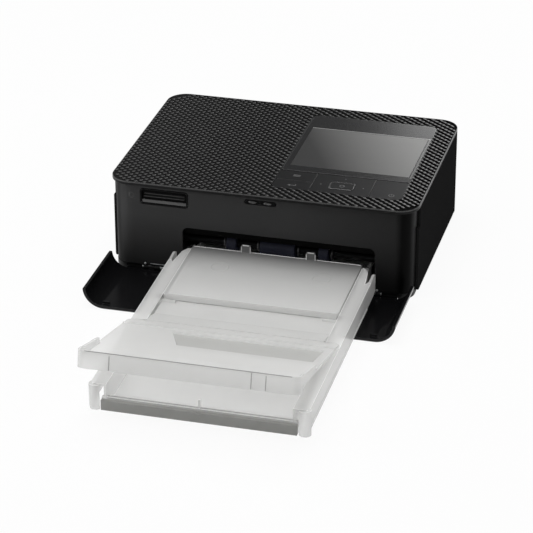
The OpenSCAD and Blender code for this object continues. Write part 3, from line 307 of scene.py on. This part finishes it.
def ramp(factor, stops):
    """A colour that changes along a factor, through stops of a place and a colour."""
    return factor.node("ShaderNodeValToRGB", {"stops": [(place, (*colour, 1)) for place, colour in stops]}, {0: factor})


def times(a, b):
    """Two colours multiplied."""
    return a.node("ShaderNodeMix", {"data_type": "RGBA", "blend_type": "MULTIPLY"}, {0: 1.0, 6: a, 7: b}, 2)


front_black, shader, here = finish("front_black", (0.04, 0.04, 0.0405), Specular_IOR_Level=0.04)
front_reach, shade_foot, shade_rise = 92 * mm, 3 * mm, 34 * mm
# Painted highlights near both corners and painted shade to the right; the height below paints shade towards the bottom.
painted_light_stops = ((0.0, 0.006), (0.028, 0.014), (0.036, 0.028), (0.045, 0.062), (0.058, 0.064), (0.085, 0.05),
          (0.6, 0.046), (0.93, 0.026), (0.95, 0.002), (0.972, 0.002), (0.982, 0.03), (1.0, 0.012))
painted_light_and_shade = ramp(from_left(here, front_reach), [(place, (grey, grey, grey * 1.01)) for place, grey in painted_light_stops])
height = (axis(here, 2) - shade_foot) / shade_rise
feed(shader, Normal=relief(grain(here, spark_size), spark_depth, 0.35), Roughness=0.36 + 0.1 * grain(here, 4 * mm),
     Base_Color=times(painted_light_and_shade, tint(height, (0.4, 0.4, 0.4), (1, 1, 1))))
moulding("front_housing", "front_cover", cover_edge_width, front_black)

# ---------- side and rear covers ----------
# The sides and the back are separate mouldings in the same ABS with a duller,
# coarser grain. The right one swings open for the ribbon.
side_black, shader, here = finish("side_black", (0.018, 0.018, 0.0183), Specular_IOR_Level=0.0)
pores = grain(here, 0.5 * mm)
feed(shader, Normal=relief(pores, 0.02 * mm, 0.4), Roughness=0.75 + 0.1 * grain(here, 5 * mm),
     Base_Color=tint(pores, (0.015, 0.015, 0.0153), (0.021, 0.021, 0.0213)))
for node, name in (("left_panel", "left_side_cover"), ("rear_panel", "rear_cover"),
                   ("right_rear_panel", "right_rear_cover"), ("ribbon_door", "ribbon_cover")):
    moulding(node, name, cover_edge_width, side_black)

# ---------- lid ----------
# The lid is a separate moulding in the same ABS, clipped down over the covers.
# Its top is a dull valley a little below a polished rim, with an opening for the display and the keys. The valley is
# painted near black as painted shade between the lozenges, paler on the left than on the right as painted light, and
# the rim is painted lighter as a painted highlight.
panel_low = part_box("menu_key")[0]
panel_low.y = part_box("back_key")[0].y
panel_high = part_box("display_window")[1]
body_low, body_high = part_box("top_cover")
lid_top = body_high.z
rim_width, rim_slope, valley_drop, rim_height = 0.45 * mm, 0.2 * mm, 0.55 * mm, 0.7 * mm
lid_reach = 90 * mm


def within(x, y, low, high, corner, margin):
    """True where a point is inside a round-cornered rectangle by a margin."""
    dx = max(low.x + margin + corner - x, x - high.x + margin + corner, 0)
    dy = max(low.y + margin + corner - y, y - high.y + margin + corner, 0)
    inside = low.x + margin <= x <= high.x - margin and low.y + margin <= y <= high.y - margin
    return math.hypot(dx, dy) <= corner and inside


def satin(name, colour, rough, vary, size, detail=2.0, **values):
    """A material of one colour, whose roughness varies over lumps of that size."""
    made, shader, here = finish(name, colour, **values)
    feed(shader, Roughness=rough + vary * grain(here, size, detail))
    return made


lid_form = merged("top_cover")
everything = lid_form.verts[:] + lid_form.edges[:] + lid_form.faces[:]
bmesh.ops.bisect_plane(lid_form, geom=everything, plane_co=Vector((0, 0, lid_top - rim_height)),
                       plane_no=Vector((0, 0, 1)))
for face in lid_form.faces:
    if face.calc_center_median().z > lid_top - rim_height:
        face.material_index = 2
field = [face for face in lid_form.faces
         if face.normal.z > 0.99 and face.calc_center_median().z > lid_top - 0.1 * mm]
bmesh.ops.inset_region(lid_form, faces=field, thickness=rim_width, use_even_offset=True)
slope = bmesh.ops.inset_region(lid_form, faces=field, thickness=rim_slope, depth=-valley_drop, use_even_offset=True)
for face in field + slope["faces"]:
    face.material_index = 1
for face in lid_form.faces:
    spot = face.calc_center_median()
    if face.material_index == 2 and within(spot.x, spot.y, panel_low, panel_high, 0, -2 * mm):
        face.material_index = 0
# Painted shade in the valley, paler to the left as painted light; the rim below is a painted highlight.
lid_valley_shade, shader, here = finish("lid_valley_shade", (0.004, 0.004, 0.004), Roughness=0.8, Specular_IOR_Level=0.05)
feed(shader, Normal=relief(grain(here, 0.3 * mm), 0.02 * mm, 0.5),
     Base_Color=tint(from_left(here, lid_reach), (0.014, 0.014, 0.014), (0.0005, 0.0005, 0.0005)))
lid_rim_highlight = satin("lid_rim_highlight", (0.045, 0.045, 0.045), 0.25, 0.1, 3 * mm, Specular_IOR_Level=0.5)
lid = piece_of(lid_form, "lid", [shell_black, lid_valley_shade, lid_rim_highlight], "printer")
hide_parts("top_cover")
soften(lid, 0.25 * mm)

# ---------- lozenges of the lid ----------
# Small dots with polished crowns are moulded all over the lid's valley. Towards the right they are drawn out into
# lozenges that slant down to the right. Their crowns are painted lighter as painted highlights, brighter towards the
# right, and their steep and front sides take the valley's painted shade.
pitch_x, pitch_y = 5.22 * mm, 4.24 * mm
dot_wide, dot_deep, dot_root = 1.5 * mm, 1.4 * mm, 0.05 * mm
columns, rows = 36, 32
lid_corner, dot_margin, corner_zone = 10 * mm, 2.4 * mm, 11 * mm
panel_corner, panel_margin = 4 * mm, 0.8 * mm
drawn_start, drawn_over, longer, slimmer = 25 * mm, 45 * mm, 0.42, 0.36
# The crowns' colour is a painted highlight that grows brighter to the right.
lozenge_highlight, shader, here = finish("lozenge_highlight", (0.022, 0.022, 0.0225), Specular_IOR_Level=0.55)
painted_light_stops = ((0.0, 0.036), (0.4, 0.022), (0.6, 0.04), (0.8, 0.07), (1.0, 0.15))
crown_highlight = ramp(from_left(here, lid_reach), [(place, (grey, grey, grey)) for place, grey in painted_light_stops])
feed(shader, Roughness=0.28 + 0.1 * grain(here, 3 * mm), Base_Color=crown_highlight)
bumps = bmesh.new()
lozenge = bmesh.ops.create_circle(bumps, cap_ends=True, radius=1, segments=8)["verts"]
for vert in lozenge:
    vert.co = Vector((vert.co.x * dot_wide, vert.co.y * dot_deep, lid_top - valley_drop - dot_root))
for scale, lean, high in ((0.8, 0.1, 0.12), (0.5, 0.12, 0.02)):
    topmost = max(bumps.faces, key=lambda face: face.calc_center_median().z)
    crown = bmesh.ops.extrude_face_region(bumps, geom=[topmost])
    for vert in (part for part in crown["geom"] if isinstance(part, bmesh.types.BMVert)):
        vert.co.x *= scale
        vert.co.y = vert.co.y * scale + lean * mm
        vert.co.z = lid_top - high * mm
bmesh.ops.recalc_face_normals(bumps, faces=bumps.faces[:])
for face in bumps.faces:
    face.smooth = face.calc_center_median().z > lid_top - 0.3 * mm
    face.material_index = int(face.normal.z < 0.75 or face.normal.y < -0.2)
each = len(bumps.verts)


def spread(form, step, count):
    """Repeats a form along a step until there are count of it, one after another."""
    sizes = len(form.verts), len(form.edges), len(form.faces)
    made = 1
    while made < count:
        more = min(made, count - made)
        parts = form.verts[:more * sizes[0]] + form.edges[:more * sizes[1]] + form.faces[:more * sizes[2]]
        copy = bmesh.ops.duplicate(form, geom=parts)["geom"]
        moved = [part for part in copy if isinstance(part, bmesh.types.BMVert)]
        bmesh.ops.translate(form, verts=moved, vec=Vector(step) * made)
        made += more


spread(bumps, (pitch_x / 2, pitch_y / 2, 0), 2)
spread(bumps, (pitch_x, 0, 0), columns)
spread(bumps, (0, pitch_y, 0), rows)
corner = Vector((body.x - columns * pitch_x / 2 + pitch_x / 4, body.y - rows * pitch_y / 2 + pitch_y / 4, 0))
bmesh.ops.translate(bumps, verts=bumps.verts[:], vec=corner)
field_low, field_high = body_low + Vector((0.7, 0.7, 0)) * mm, body_high - Vector((0.7, 0.7, 0)) * mm
points = bumps.verts[:]
slant = Vector((pitch_x, -pitch_y, 0)).normalized()
across_slant = Vector((pitch_y, pitch_x, 0)).normalized()
gone = []
for start in range(columns * rows * 2):
    pair = start % 2
    x = corner.x + (start // 2 % columns) * pitch_x + pair * pitch_x / 2
    y = corner.y + (start // 2 // columns) * pitch_y + pair * pitch_y / 2
    past_x = max(body_low.x + corner_zone - x, x - body_high.x + corner_zone)
    past_y = max(body_low.y + corner_zone - y, y - body_high.y + corner_zone)
    if past_x > 0 and past_y > 0:
        on_lid = within(x, y, body_low, body_high, lid_corner, dot_margin)
    else:
        on_lid = within(x, y, field_low, field_high, 0, -1 * mm)
    if not on_lid or within(x, y, panel_low, panel_high, panel_corner, panel_margin):
        gone.append(start)
        continue
    drawn = min(max((x - body.x + drawn_start) / drawn_over, 0), 1)
    for vert in points[start * each:(start + 1) * each]:
        reach = vert.co - Vector((x, y, vert.co.z))
        stretch = slant * (reach.dot(slant) * longer * drawn)
        vert.co += stretch - across_slant * (reach.dot(across_slant) * slimmer * drawn)
unwanted = [vert for start in gone for vert in points[start * each:(start + 1) * each]]
bmesh.ops.delete(bumps, geom=unwanted, context="VERTS")
lanes = (("lid_lozenges_a", (field_low.x, field_low.y), (panel_low.x, field_high.y)),
         ("lid_lozenges_b", (panel_high.x, field_low.y), (field_high.x, field_high.y)),
         ("lid_lozenges_c", (panel_low.x, field_low.y), (panel_high.x, panel_low.y)),
         ("lid_lozenges_d", (panel_low.x, panel_high.y), (panel_high.x, field_high.y)))
for name, low, high in lanes:
    lane = bumps.copy()
    for number in (0, 1):
        for limit, way in ((low[number], -1), (high[number], 1)):
            normal, place = Vector((0, 0, 0)), Vector((0, 0, 0))
            normal[number], place[number] = way, limit
            everything = lane.verts[:] + lane.edges[:] + lane.faces[:]
            bmesh.ops.bisect_plane(lane, geom=everything, plane_co=place, plane_no=normal, clear_outer=True)
    piece_of(lane, name, [lozenge_highlight, lid_valley_shade], "printer")
bumps.free()

# ---------- feet and screws ----------
# Four round rubber feet sit in sockets in the base's floor, and four countersunk
# steel screws hold the base to the covers. The pins, the door's rod and the
# lift spring are of the same bright steel.
rubber_black, shader, here = finish("rubber_black", (0.02, 0.02, 0.02), Roughness=0.8)
feed(shader, Normal=relief(grain(here, 0.5 * mm), 0.03 * mm, 0.4))
moulding("feet", "rubber_feet", 0.4 * mm, rubber_black)
bright_steel = satin("bright_steel", (0.55, 0.56, 0.57), 0.25, 0.15, 1.5 * mm, Metallic=1.0)
for node in ("base_screws", "door_rod", "ribbon_door_pin", "head_pin", "lift_spring"):
    nodes[node].data.materials[0] = bright_steel

# ---------- front door ----------
# The door folds down flat on the table. It is a glossy black moulding with
# turned-up ends, a catch near each end and two hinge knuckles.
door_black = satin("door_black", (0.005, 0.005, 0.0055), 0.17, 0.1, 9 * mm, 3.0, Specular_IOR_Level=0.22)
moulding("front_door", "door_leaf", 0.2 * mm, door_black)

# ---------- card slot ----------
# A surround in the front's black is clipped into the front. Its rim and its mouth are painted near black as painted
# shade. Two ribs in its mouth guide the memory card, a polished sill runs below it, and a small card is printed beside
# it.
# The near-black trim is painted shade for the slot's mouth and the surround's rim.
trim_shade = satin("trim_shade", (0.002, 0.002, 0.0022), 0.26, 0.12, 2 * mm, Specular_IOR_Level=0.04)
trim_edge = satin("trim_edge", (0.06, 0.06, 0.06), 0.18, 0.08, 2 * mm, Specular_IOR_Level=0.6)


def rimmed(form, normal, wide):
    """Gives the foremost faces that look along a normal a narrow rim, in the form's second material."""
    normal = Vector(normal)
    look = [face for face in form.faces if face.normal.dot(normal) > 0.99]
    reach = max(face.calc_center_median().dot(normal) for face in look)
    look = [face for face in look if face.calc_center_median().dot(normal) > reach - 0.05 * mm]
    for face in bmesh.ops.inset_region(form, faces=look, thickness=wide, use_even_offset=True)["faces"]:
        face.material_index = 1


surround = merged("card_bezel")
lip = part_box("card_bezel")[0].y + 0.1 * mm
for face in surround.faces:
    face.material_index = int(face.calc_center_median().y > lip)
rimmed(surround, (0, -1, 0), 0.45 * mm)
card_surround = piece_of(surround, "card_surround", [front_black, trim_shade], "printer")
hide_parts("card_bezel")
soften(card_surround, 0.15 * mm)


def slab(form, low, high, radius=0.0, upright=2, segments=4):
    """Adds a block between two corners, in millimetres from the body's middle, its edges along one axis rounded."""
    made = bmesh.ops.create_cube(form, size=mm)["verts"]
    low, high = Vector(low), Vector(high)
    bmesh.ops.scale(form, verts=made, vec=high - low)
    bmesh.ops.translate(form, verts=made, vec=body + (low + high) / 2 * mm)
    if radius:
        edges = {edge for vert in made for edge in vert.link_edges}
        along = [edge for edge in edges if abs((edge.verts[0].co - edge.verts[1].co)[upright]) > 1e-7]
        bmesh.ops.bevel(form, geom=along, offset=radius * mm, segments=segments, profile=0.5,
                        affect="EDGES", material=-1)


ribs = bmesh.new()
for low, high in ((49.9, 50.3), (48.1, 48.5)):
    slab(ribs, (-69.6, -64.1, low), (-45.4, -60.6, high), 0.15, 0, 2)
slab(ribs, (-70.6, -64.3, 44.3), (-44.4, -63.4, 46.4), 0.4, 0, 3)
piece_of(ribs, "card_ribs", [trim_edge], "printer")
sign_front, sign_rear = -64.55, -64.4
sign_form = bmesh.new()
for low, high in (((-78.6, 46.6), (-78.3, 50.2)), ((-76.2, 46.6), (-75.9, 49.4)),
                  ((-78.6, 46.6), (-75.9, 46.9)), ((-78.6, 49.9), (-76.7, 50.2))):
    slab(sign_form, (low[0], sign_front, low[1]), (high[0], sign_rear, high[1]))
piece_of(sign_form, "card_sign", [trim_edge], "printer")

# ---------- door stops ----------
# Two small polished pins and a short bar in the front's lower edge stop the
# open door.
stops = bmesh.new()
for x in (-69.7, 69.1):
    pin = bmesh.ops.create_uvsphere(stops, u_segments=12, v_segments=8, radius=0.8 * mm)["verts"]
    bmesh.ops.translate(stops, verts=pin, vec=body + Vector((x, -64.7, 5.0)) * mm)
for face in stops.faces:
    face.smooth = True
slab(stops, (-66.6, -65.0, 4.9), (-57.0, -64.3, 5.4), 0.2, 0, 2)
piece_of(stops, "door_stops", [bright_steel], "printer")

# ---------- lamp window ----------
# Two small lamps shine through a strip of dark glossy acrylic, each through
# a lens moulded in its face.
window_black = satin("window_black", (0.001, 0.001, 0.0012), 0.04, 0.04, 3 * mm, Specular_IOR_Level=0.1)
moulding("lamp_window", "lamp_cover", 0.1 * mm, window_black)
lens_clear = satin("lens_clear", (0.04, 0.04, 0.04), 0.1, 0.06, 1 * mm, Specular_IOR_Level=0.9)
lenses = bmesh.new()
for x in (-4.7, 4.2):
    dome = bmesh.ops.create_uvsphere(lenses, u_segments=16, v_segments=8, radius=mm)["verts"]
    bmesh.ops.scale(lenses, verts=dome, vec=(2.4, 0.45, 0.95))
    bmesh.ops.translate(lenses, verts=dome, vec=body + Vector((x, -64.3, 52.0)) * mm)
for face in lenses.faces:
    face.smooth = True
piece_of(lenses, "lamp_lenses", [lens_clear], "printer")

# ---------- display ----------
# One glossy acrylic plate covers the display. Its grey picture area is a painted reflection, lighter towards the right
# and the rear, and a thin painted highlight runs along the picture's rear and its right side. The plate's rim is
# painted lighter as a painted highlight.
picture_x, picture_y = body.x + 41.9 * mm, body.y + 6.85 * mm
picture_wide, picture_deep = 35.4 * mm, 27.35 * mm
display_black, shader, here = finish("display_black", (0.004, 0.004, 0.0045), Specular_IOR_Level=0.4)
u = (axis(here, 0) - picture_x) / picture_wide
v = (axis(here, 1) - picture_y) / picture_deep
edge = abs(u).maths("MAXIMUM", abs(u), abs(v))
picture = edge.maths("LESS_THAN", edge, 1.0)
# A painted reflection in the picture area, and painted highlights along its rear and right side.
glow = tint(u * 0.5 + v * 0.2 + 0.4, (0.012, 0.012, 0.012), (0.235, 0.235, 0.23))
line = edge.maths("LESS_THAN", edge, 1.05) - edge.maths("LESS_THAN", edge, 1.02)
rear_highlight = v.maths("GREATER_THAN", v, 1.01) * u.maths("GREATER_THAN", u, -1.0) * 0.8
right_highlight = u.maths("GREATER_THAN", u, 1.01) * 0.25
painted_edge_highlight = tint(line * (rear_highlight + right_highlight), (0.004, 0.004, 0.0045), (0.4, 0.4, 0.39))
feed(shader, Base_Color=tint(picture, painted_edge_highlight, glow), Roughness=0.18 + picture * 0.22 + 0.04 * grain(here, 8 * mm))
# The plate's rim is painted lighter as a painted highlight.
plate_edge_highlight = satin("plate_edge_highlight", (0.05, 0.05, 0.05), 0.15, 0.08, 2 * mm, Specular_IOR_Level=0.7)
plate = merged("display_window")
rimmed(plate, (0, 0, 1), 0.4 * mm)
display_cover = piece_of(plate, "display_cover", [display_black, plate_edge_highlight], "printer")
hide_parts("display_window")
soften(display_cover, 0.12 * mm)

# ---------- keys ----------
# The keys are cut from the panel's outline in satin black, their rims painted lighter as painted highlights. The
# four-way pad has a separate key in its middle, with a raised polished rim.
key_black = satin("key_black", (0.005, 0.005, 0.0055), 0.26, 0.1, 2 * mm, Specular_IOR_Level=0.15)
# Key rims painted lighter as painted highlights.
key_edge_highlight = satin("key_edge_highlight", (0.018, 0.018, 0.018), 0.2, 0.1, 2 * mm, Specular_IOR_Level=0.4)
for node in ("menu_key", "back_key", "nav_pad", "power_key"):
    cap_form = merged(node)
    rimmed(cap_form, (0, 0, 1), 0.2 * mm)
    cap = piece_of(cap_form, node + "_cap", [key_black, key_edge_highlight], node)
    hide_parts(node)
    soften(cap, 0.1 * mm)
middle = merged("ok_key")
crown = max(middle.faces, key=lambda face: face.calc_center_median().z)
rim_faces = bmesh.ops.inset_region(middle, faces=[crown], thickness=0.35 * mm, use_even_offset=True)["faces"]
bmesh.ops.inset_region(middle, faces=[crown], thickness=0.12 * mm, depth=-0.12 * mm, use_even_offset=True)
for face in rim_faces:
    face.material_index = 1
key_rim = satin("key_rim", (0.3, 0.3, 0.3), 0.1, 0.08, 2 * mm, Metallic=1.0)
ok_cap = piece_of(middle, "ok_key_cap", [key_black, key_rim], "ok_key")
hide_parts("ok_key")
soften(ok_cap, 0.1 * mm)

# ---------- signs on the keys ----------
# Plain signs are printed on the keys in grey: three lines for the menu, an arrow
# for back, dots on the pad, a ring on the middle key and an open ring with a bar
# for power.
sign_grey, shader, here = finish("sign_grey", (0.12, 0.12, 0.12))
feed(shader, Base_Color=tint(grain(here, 0.6 * mm), (0.1, 0.1, 0.1), (0.15, 0.15, 0.15)))
key_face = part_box("menu_key")[1].z / mm
ink_sunk, ink_proud, ring_flatness = 0.05, 0.03, 0.12


def bar(form, x, y, wide, deep, z):
    """Adds a printed bar on a key."""
    slab(form, (x - wide / 2, y - deep / 2, z - ink_sunk), (x + wide / 2, y + deep / 2, z + ink_proud),
         min(wide, deep) * 0.4, 2, 2)


def arc(form, x, y, radius, thick, z, degrees):
    """Adds a printed ring on a key, open towards the rear if it isn't a full turn."""
    start = math.radians(90 + (360 - degrees) / 2)
    middle = body + Vector((x, y, z)) * mm
    out = Vector((math.cos(start), math.sin(start), 0))
    section = bmesh.ops.create_circle(form, radius=thick / 2 * mm, segments=4)["verts"]
    for vert in section:
        vert.co = middle + out * (radius * mm + vert.co.x) + Vector((0, 0, vert.co.y * ring_flatness))
    edges = list({edge for vert in section for edge in vert.link_edges})
    bmesh.ops.spin(form, geom=edges, cent=middle, axis=(0, 0, 1), angle=math.radians(degrees), steps=24,
                   use_merge=degrees == 360)


signs = bmesh.new()
for y in (-32.9, -33.8, -34.7):
    bar(signs, 13.9, y, 4.2, 0.4, key_face)
piece_of(signs, "menu_sign", [sign_grey], "menu_key")
signs = bmesh.new()
bar(signs, 14.7, -47.2, 3.4, 0.45, key_face)
bar(signs, 16.2, -46.4, 0.45, 1.7, key_face)
head_radius = 1.1 * mm
head = bmesh.ops.create_cone(signs, cap_ends=True, segments=3, radius1=head_radius, radius2=head_radius,
                             depth=0.06 * mm)["verts"]
bmesh.ops.rotate(signs, verts=head, cent=(0, 0, 0), matrix=Matrix.Rotation(math.radians(90), 3, "Z"))
bmesh.ops.translate(signs, verts=head, vec=body + Vector((12.6, -47.2, key_face)) * mm)
piece_of(signs, "back_sign", [sign_grey], "back_key")
signs = bmesh.new()
for x, y in ((30.0, -41.5), (55.0, -41.5), (42.5, -31.6)):
    bar(signs, x, y, 0.8, 0.8, key_face)
piece_of(signs, "pad_signs", [sign_grey], "nav_pad")
signs = bmesh.new()
arc(signs, 42.5, -41.5, 1.3, 0.45, key_face + 0.08, 360)
piece_of(signs, "ok_sign", [sign_grey], "ok_key")
signs = bmesh.new()
arc(signs, 72.6, -46.6, 1.5, 0.4, key_face, 300)
bar(signs, 72.6, -45.5, 0.4, 1.7, key_face)
piece_of(signs, "power_sign", [sign_grey], "power_key")

# ---------- works inside ----------
# The guides, spools, ports and the motor's case are black plastic, the boards
# green laminate, and the chassis, the head and the steel rollers plain steel.
# The platen, the belt, the film and the display's back are dark navy.
inner_black = satin("inner_black", (0.002, 0.002, 0.002), 0.5, 0.2, 3 * mm, Specular_IOR_Level=0.08)
board_green = satin("board_green", (0.01, 0.09, 0.04), 0.35, 0.2, 2 * mm)
plate_steel = satin("plate_steel", (0.4, 0.41, 0.41), 0.3, 0.2, 6 * mm, 4.0, Metallic=1.0)
roller_rubber = satin("roller_rubber", (0.01, 0.012, 0.03), 0.5, 0.2, 1 * mm)
for made_of, names in (
        (inner_black, ("guide_beam", "feed_ramp", "exit_guide", "cassette_guides", "ribbon_cartridge", "ribbon_latch",
                       "supply_spool", "takeup_spool", "usb_a_port", "usb_c_port", "dc_jack", "card_reader",
                       "drive_motor")),
        (board_green, ("main_board", "lamp_board", "key_board")),
        (plate_steel, ("chassis_left", "chassis_right", "chassis_bridge", "thermal_head", "capstan", "pinch_roller",
                       "motor_pulley")),
        (roller_rubber, ("platen_roller", "drive_belt", "ribbon_film", "display_module"))):
    for node in names:
        nodes[node].data.materials[0] = made_of

# ---------- pick-up roller ----------
# Navy rubber tyres and steel clips sit on a steel shaft that runs across the mouth, above the paper, and turns to draw
# a sheet in. The shaft is painted near black as painted shade in the mouth.
tyre_radius, clip_radius = 4.2 * mm, 3 * mm
pickup = merged("pickup_roller")
shaft_low, shaft_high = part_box("pickup_roller")
shaft_mid = (shaft_low + shaft_high) / 2
for face in pickup.faces:
    reach = max(math.hypot(vert.co.y - shaft_mid.y, vert.co.z - shaft_mid.z) for vert in face.verts)
    face.material_index = 0 if reach > tyre_radius else 1 if reach > clip_radius else 2
clip_steel = satin("clip_steel", (0.16, 0.16, 0.165), 0.35, 0.15, 1.5 * mm, Metallic=1.0)
# The shaft's near-black steel is painted shade in the mouth.
shaded_steel = satin("shaded_steel", (0.02, 0.02, 0.021), 0.45, 0.15, 3 * mm, Metallic=1.0)
pickup_shaft = piece_of(pickup, "pickup_tyres", [roller_rubber, clip_steel, shaded_steel], "pickup_roller")
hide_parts("pickup_roller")
soften(pickup_shaft, 0.15 * mm)

# ---------- cassette tray and outer cover ----------
# The paper cassette is moulded in frosted translucent plastic, with polished edges: the tray's flat edges are painted
# lighter as painted highlights, and the outer cover's a little darker as painted shade. Its outer cover is hinged to
# the tray, stands raised, and has a thinner web in its middle, painted darker as painted shade.
frosted, shader, here = finish("frosted", (0.9, 0.9, 0.89), Transmission_Weight=0.3, IOR=1.3, Alpha=0.55)
feed(shader, Roughness=0.35 + 0.1 * grain(here, 2 * mm), Normal=relief(grain(here, 0.5 * mm), 0.01 * mm, 0.3),
     Base_Color=tint(grain(here, 30 * mm), (0.86, 0.86, 0.85), (0.93, 0.93, 0.92)))
# Edge and web colours are painted light: lighter edges are painted highlights, the darker cover edges and web painted
# shade.
frosted_edge_highlight = satin("frosted_edge_highlight", (0.97, 0.97, 0.96), 0.16, 0.08, 2 * mm, Alpha=0.9)
cover_edge_shade = satin("cover_edge_shade", (0.62, 0.62, 0.61), 0.12, 0.08, 2 * mm, Alpha=0.75)
thin_web_shade = satin("thin_web_shade", (0.6, 0.6, 0.58), 0.3, 0.1, 2 * mm, Alpha=0.6)
cassette_x, tray_tilt, cover_tilt = 11, math.radians(1), math.radians(-15)
web_low, web_high, web_front, web_rear = -0.75 * mm, -0.65 * mm, -60 * mm, -30 * mm
tray = Matrix.Translation(body + Vector((cassette_x, -233, 3.8)) * mm) @ Matrix.Rotation(tray_tilt, 4, "X")
lid_plane = tray @ Matrix.Translation(Vector((0, 87, 12.5)) * mm) @ Matrix.Rotation(cover_tilt, 4, "X")


def edged(form, frame, wide):
    """Gives every flat that looks along a frame's Z a narrow rim, in the form's second material."""
    normal = frame.to_3x3() @ Vector((0, 0, 1))
    look = [face for face in form.faces if face.normal.dot(normal) > 0.9995]
    for face in bmesh.ops.inset_region(form, faces=look, thickness=wide, use_even_offset=True)["faces"]:
        face.material_index = 1


for node, name, frame_of, edge in (("cassette_tray", "tray", tray, frosted_edge_highlight),
                                   ("outer_cover", "tray_lid", lid_plane, cover_edge_shade)):
    form = merged(node)
    if node == "outer_cover":
        for face in form.faces:
            centre = lid_plane.inverted() @ face.calc_center_median()
            if web_low < centre.z < web_high and web_front < centre.y < web_rear:
                face.material_index = 2
    edged(form, frame_of, 0.3 * mm)
    part = piece_of(form, name, [frosted, edge, thin_web_shade], nodes[node]["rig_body"])
    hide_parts(node)
    soften(part, 0.2 * mm)

# ---------- inner cover ----------
# The inner cover is the same plastic. Its colour is painted darker, and it is made more opaque, towards its rear edge,
# as painted shade where it lies in the mouth; its front lip is clear. Its rear edge and two tabs have polished borders,
# painted lighter as painted highlights.
cover_rear, cover_fade, cover_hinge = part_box("inner_cover")[1].y, 60 * mm, 107 * mm
# Painted shade: darker and more opaque towards the rear edge, where the cover lies in the mouth.
shaded, shader, here = finish("frosted_cover_shade", (0.9, 0.9, 0.89), Transmission_Weight=0.2, IOR=1.3, Alpha=0.6)
depth = (cover_rear - axis(here, 1)) / cover_fade
painted_mouth_shade = ramp(depth, ((0.0, (0.17, 0.17, 0.17)), (0.16, (0.42, 0.42, 0.415)), (0.5, (0.82, 0.82, 0.81)),
                    (0.9, (0.92, 0.92, 0.91))))
veil = depth * 0.6
feed(shader, Roughness=0.35 + 0.1 * grain(here, 2 * mm), Alpha=0.85 - veil.maths("MINIMUM", veil, 0.3),
     Base_Color=times(painted_mouth_shade, tint(grain(here, 30 * mm), (0.95, 0.95, 0.95), (1, 1, 1))))
clear_lip = satin("clear_lip", (0.97, 0.97, 0.96), 0.26, 0.08, 2 * mm, Alpha=0.7)
form = merged("inner_cover")
for face in form.faces:
    centre = tray.inverted() @ face.calc_center_median()
    if centre.y < cover_hinge and face.normal.z < 0.9:
        face.material_index = 1
tray_cover = piece_of(form, "tray_cover", [shaded, clear_lip], "inner_cover")
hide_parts("inner_cover")
soften(tray_cover, 0.2 * mm)


def slip(form, frame, low, high):
    """Adds a thin block between two corners, in millimetres in a frame of its own."""
    made = bmesh.ops.create_cube(form, size=mm)["verts"]
    low, high = Vector(low), Vector(high)
    bmesh.ops.scale(form, verts=made, vec=high - low)
    bmesh.ops.translate(form, verts=made, vec=(low + high) / 2 * mm)
    bmesh.ops.transform(form, matrix=frame, verts=made)


cover_face, tab_front, tab_rear = 15.3, 163.2, 163.7
trims = bmesh.new()
slip(trims, tray, (-49.6, 163.9, cover_face), (49.6, 164.45, 15.58))
for x in (-18.2, 20.2):
    for low, high in ((-2.8, -2.4), (2.4, 2.8)):
        slip(trims, tray, (x + low, tab_front, cover_face), (x + high, tab_rear, 19.2))
    slip(trims, tray, (x - 1.8, tab_front, 19.9), (x + 1.8, tab_rear, 20.15))
piece_of(trims, "cover_trims", [frosted_edge_highlight], "inner_cover")

# ---------- lift plate ----------
# A frosted plate in the tray's floor lifts the paper to the roller. A steel
# spring pushes it from below.
moulding("lift_plate", "tray_lift", 0.2 * mm, frosted)

# ---------- seams and ledges of the cassette ----------
# Fine raised lines are moulded on the outer cover's lip and behind the front bar, and a small post, painted lighter as
# a painted highlight, stands at the tray's front.
clear_edge = satin("clear_edge", (0.4, 0.4, 0.39), 0.12, 0.08, 2 * mm, Alpha=0.75)


def ends_of(node):
    """A node's left and right ends, in millimetres from the cassette's middle."""
    return [(corner.x - body.x) / mm - cassette_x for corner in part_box(node)]


lip_front, lip_rear = -108.3, -107.9
marks = bmesh.new()
for x, tall in ((-41.6, 3.4), (33.9, 4.2), (41.6, 3.6)):
    slip(marks, lid_plane, (x - 0.2, lip_front + 0.05, -4.4), (x + 0.2, lip_rear, tall))
left, right = ends_of("outer_cover")
slip(marks, lid_plane, (left + 4.5, lip_front, 4.5), (right - 4.5, lip_rear, 4.85))
piece_of(marks, "lid_seams", [clear_edge], "outer_cover")
post = bmesh.new()
slip(post, tray, (-0.5, 3.2, 6), (0.5, 4.2, 12.2))
piece_of(post, "tray_post", [frosted_edge_highlight], "cassette")
ledge = bmesh.new()
left, right = ends_of("front_bar")
slip(ledge, tray, (left + 0.6, 3.9, 7.1), (right - 0.6, 4.2, 7.35))
slip(ledge, tray, (left + 0.6, 9.6, 1.9), (right - 0.6, 10.0, 2.15))
piece_of(ledge, "tray_ledge", [clear_edge], "cassette")

# ---------- grey bar of the cassette ----------
# A bar of plain grey plastic is fixed across the tray's front. It stiffens the
# tray and is the grip to draw it out.
bar_grey, shader, here = finish("bar_grey", (0.34, 0.34, 0.325))
feed(shader, Roughness=0.45 + 0.1 * grain(here, 2 * mm),
     Base_Color=tint(grain(here, 12 * mm), (0.32, 0.32, 0.305), (0.36, 0.36, 0.345)))
moulding("front_bar", "tray_bar", 0.3 * mm, bar_grey)
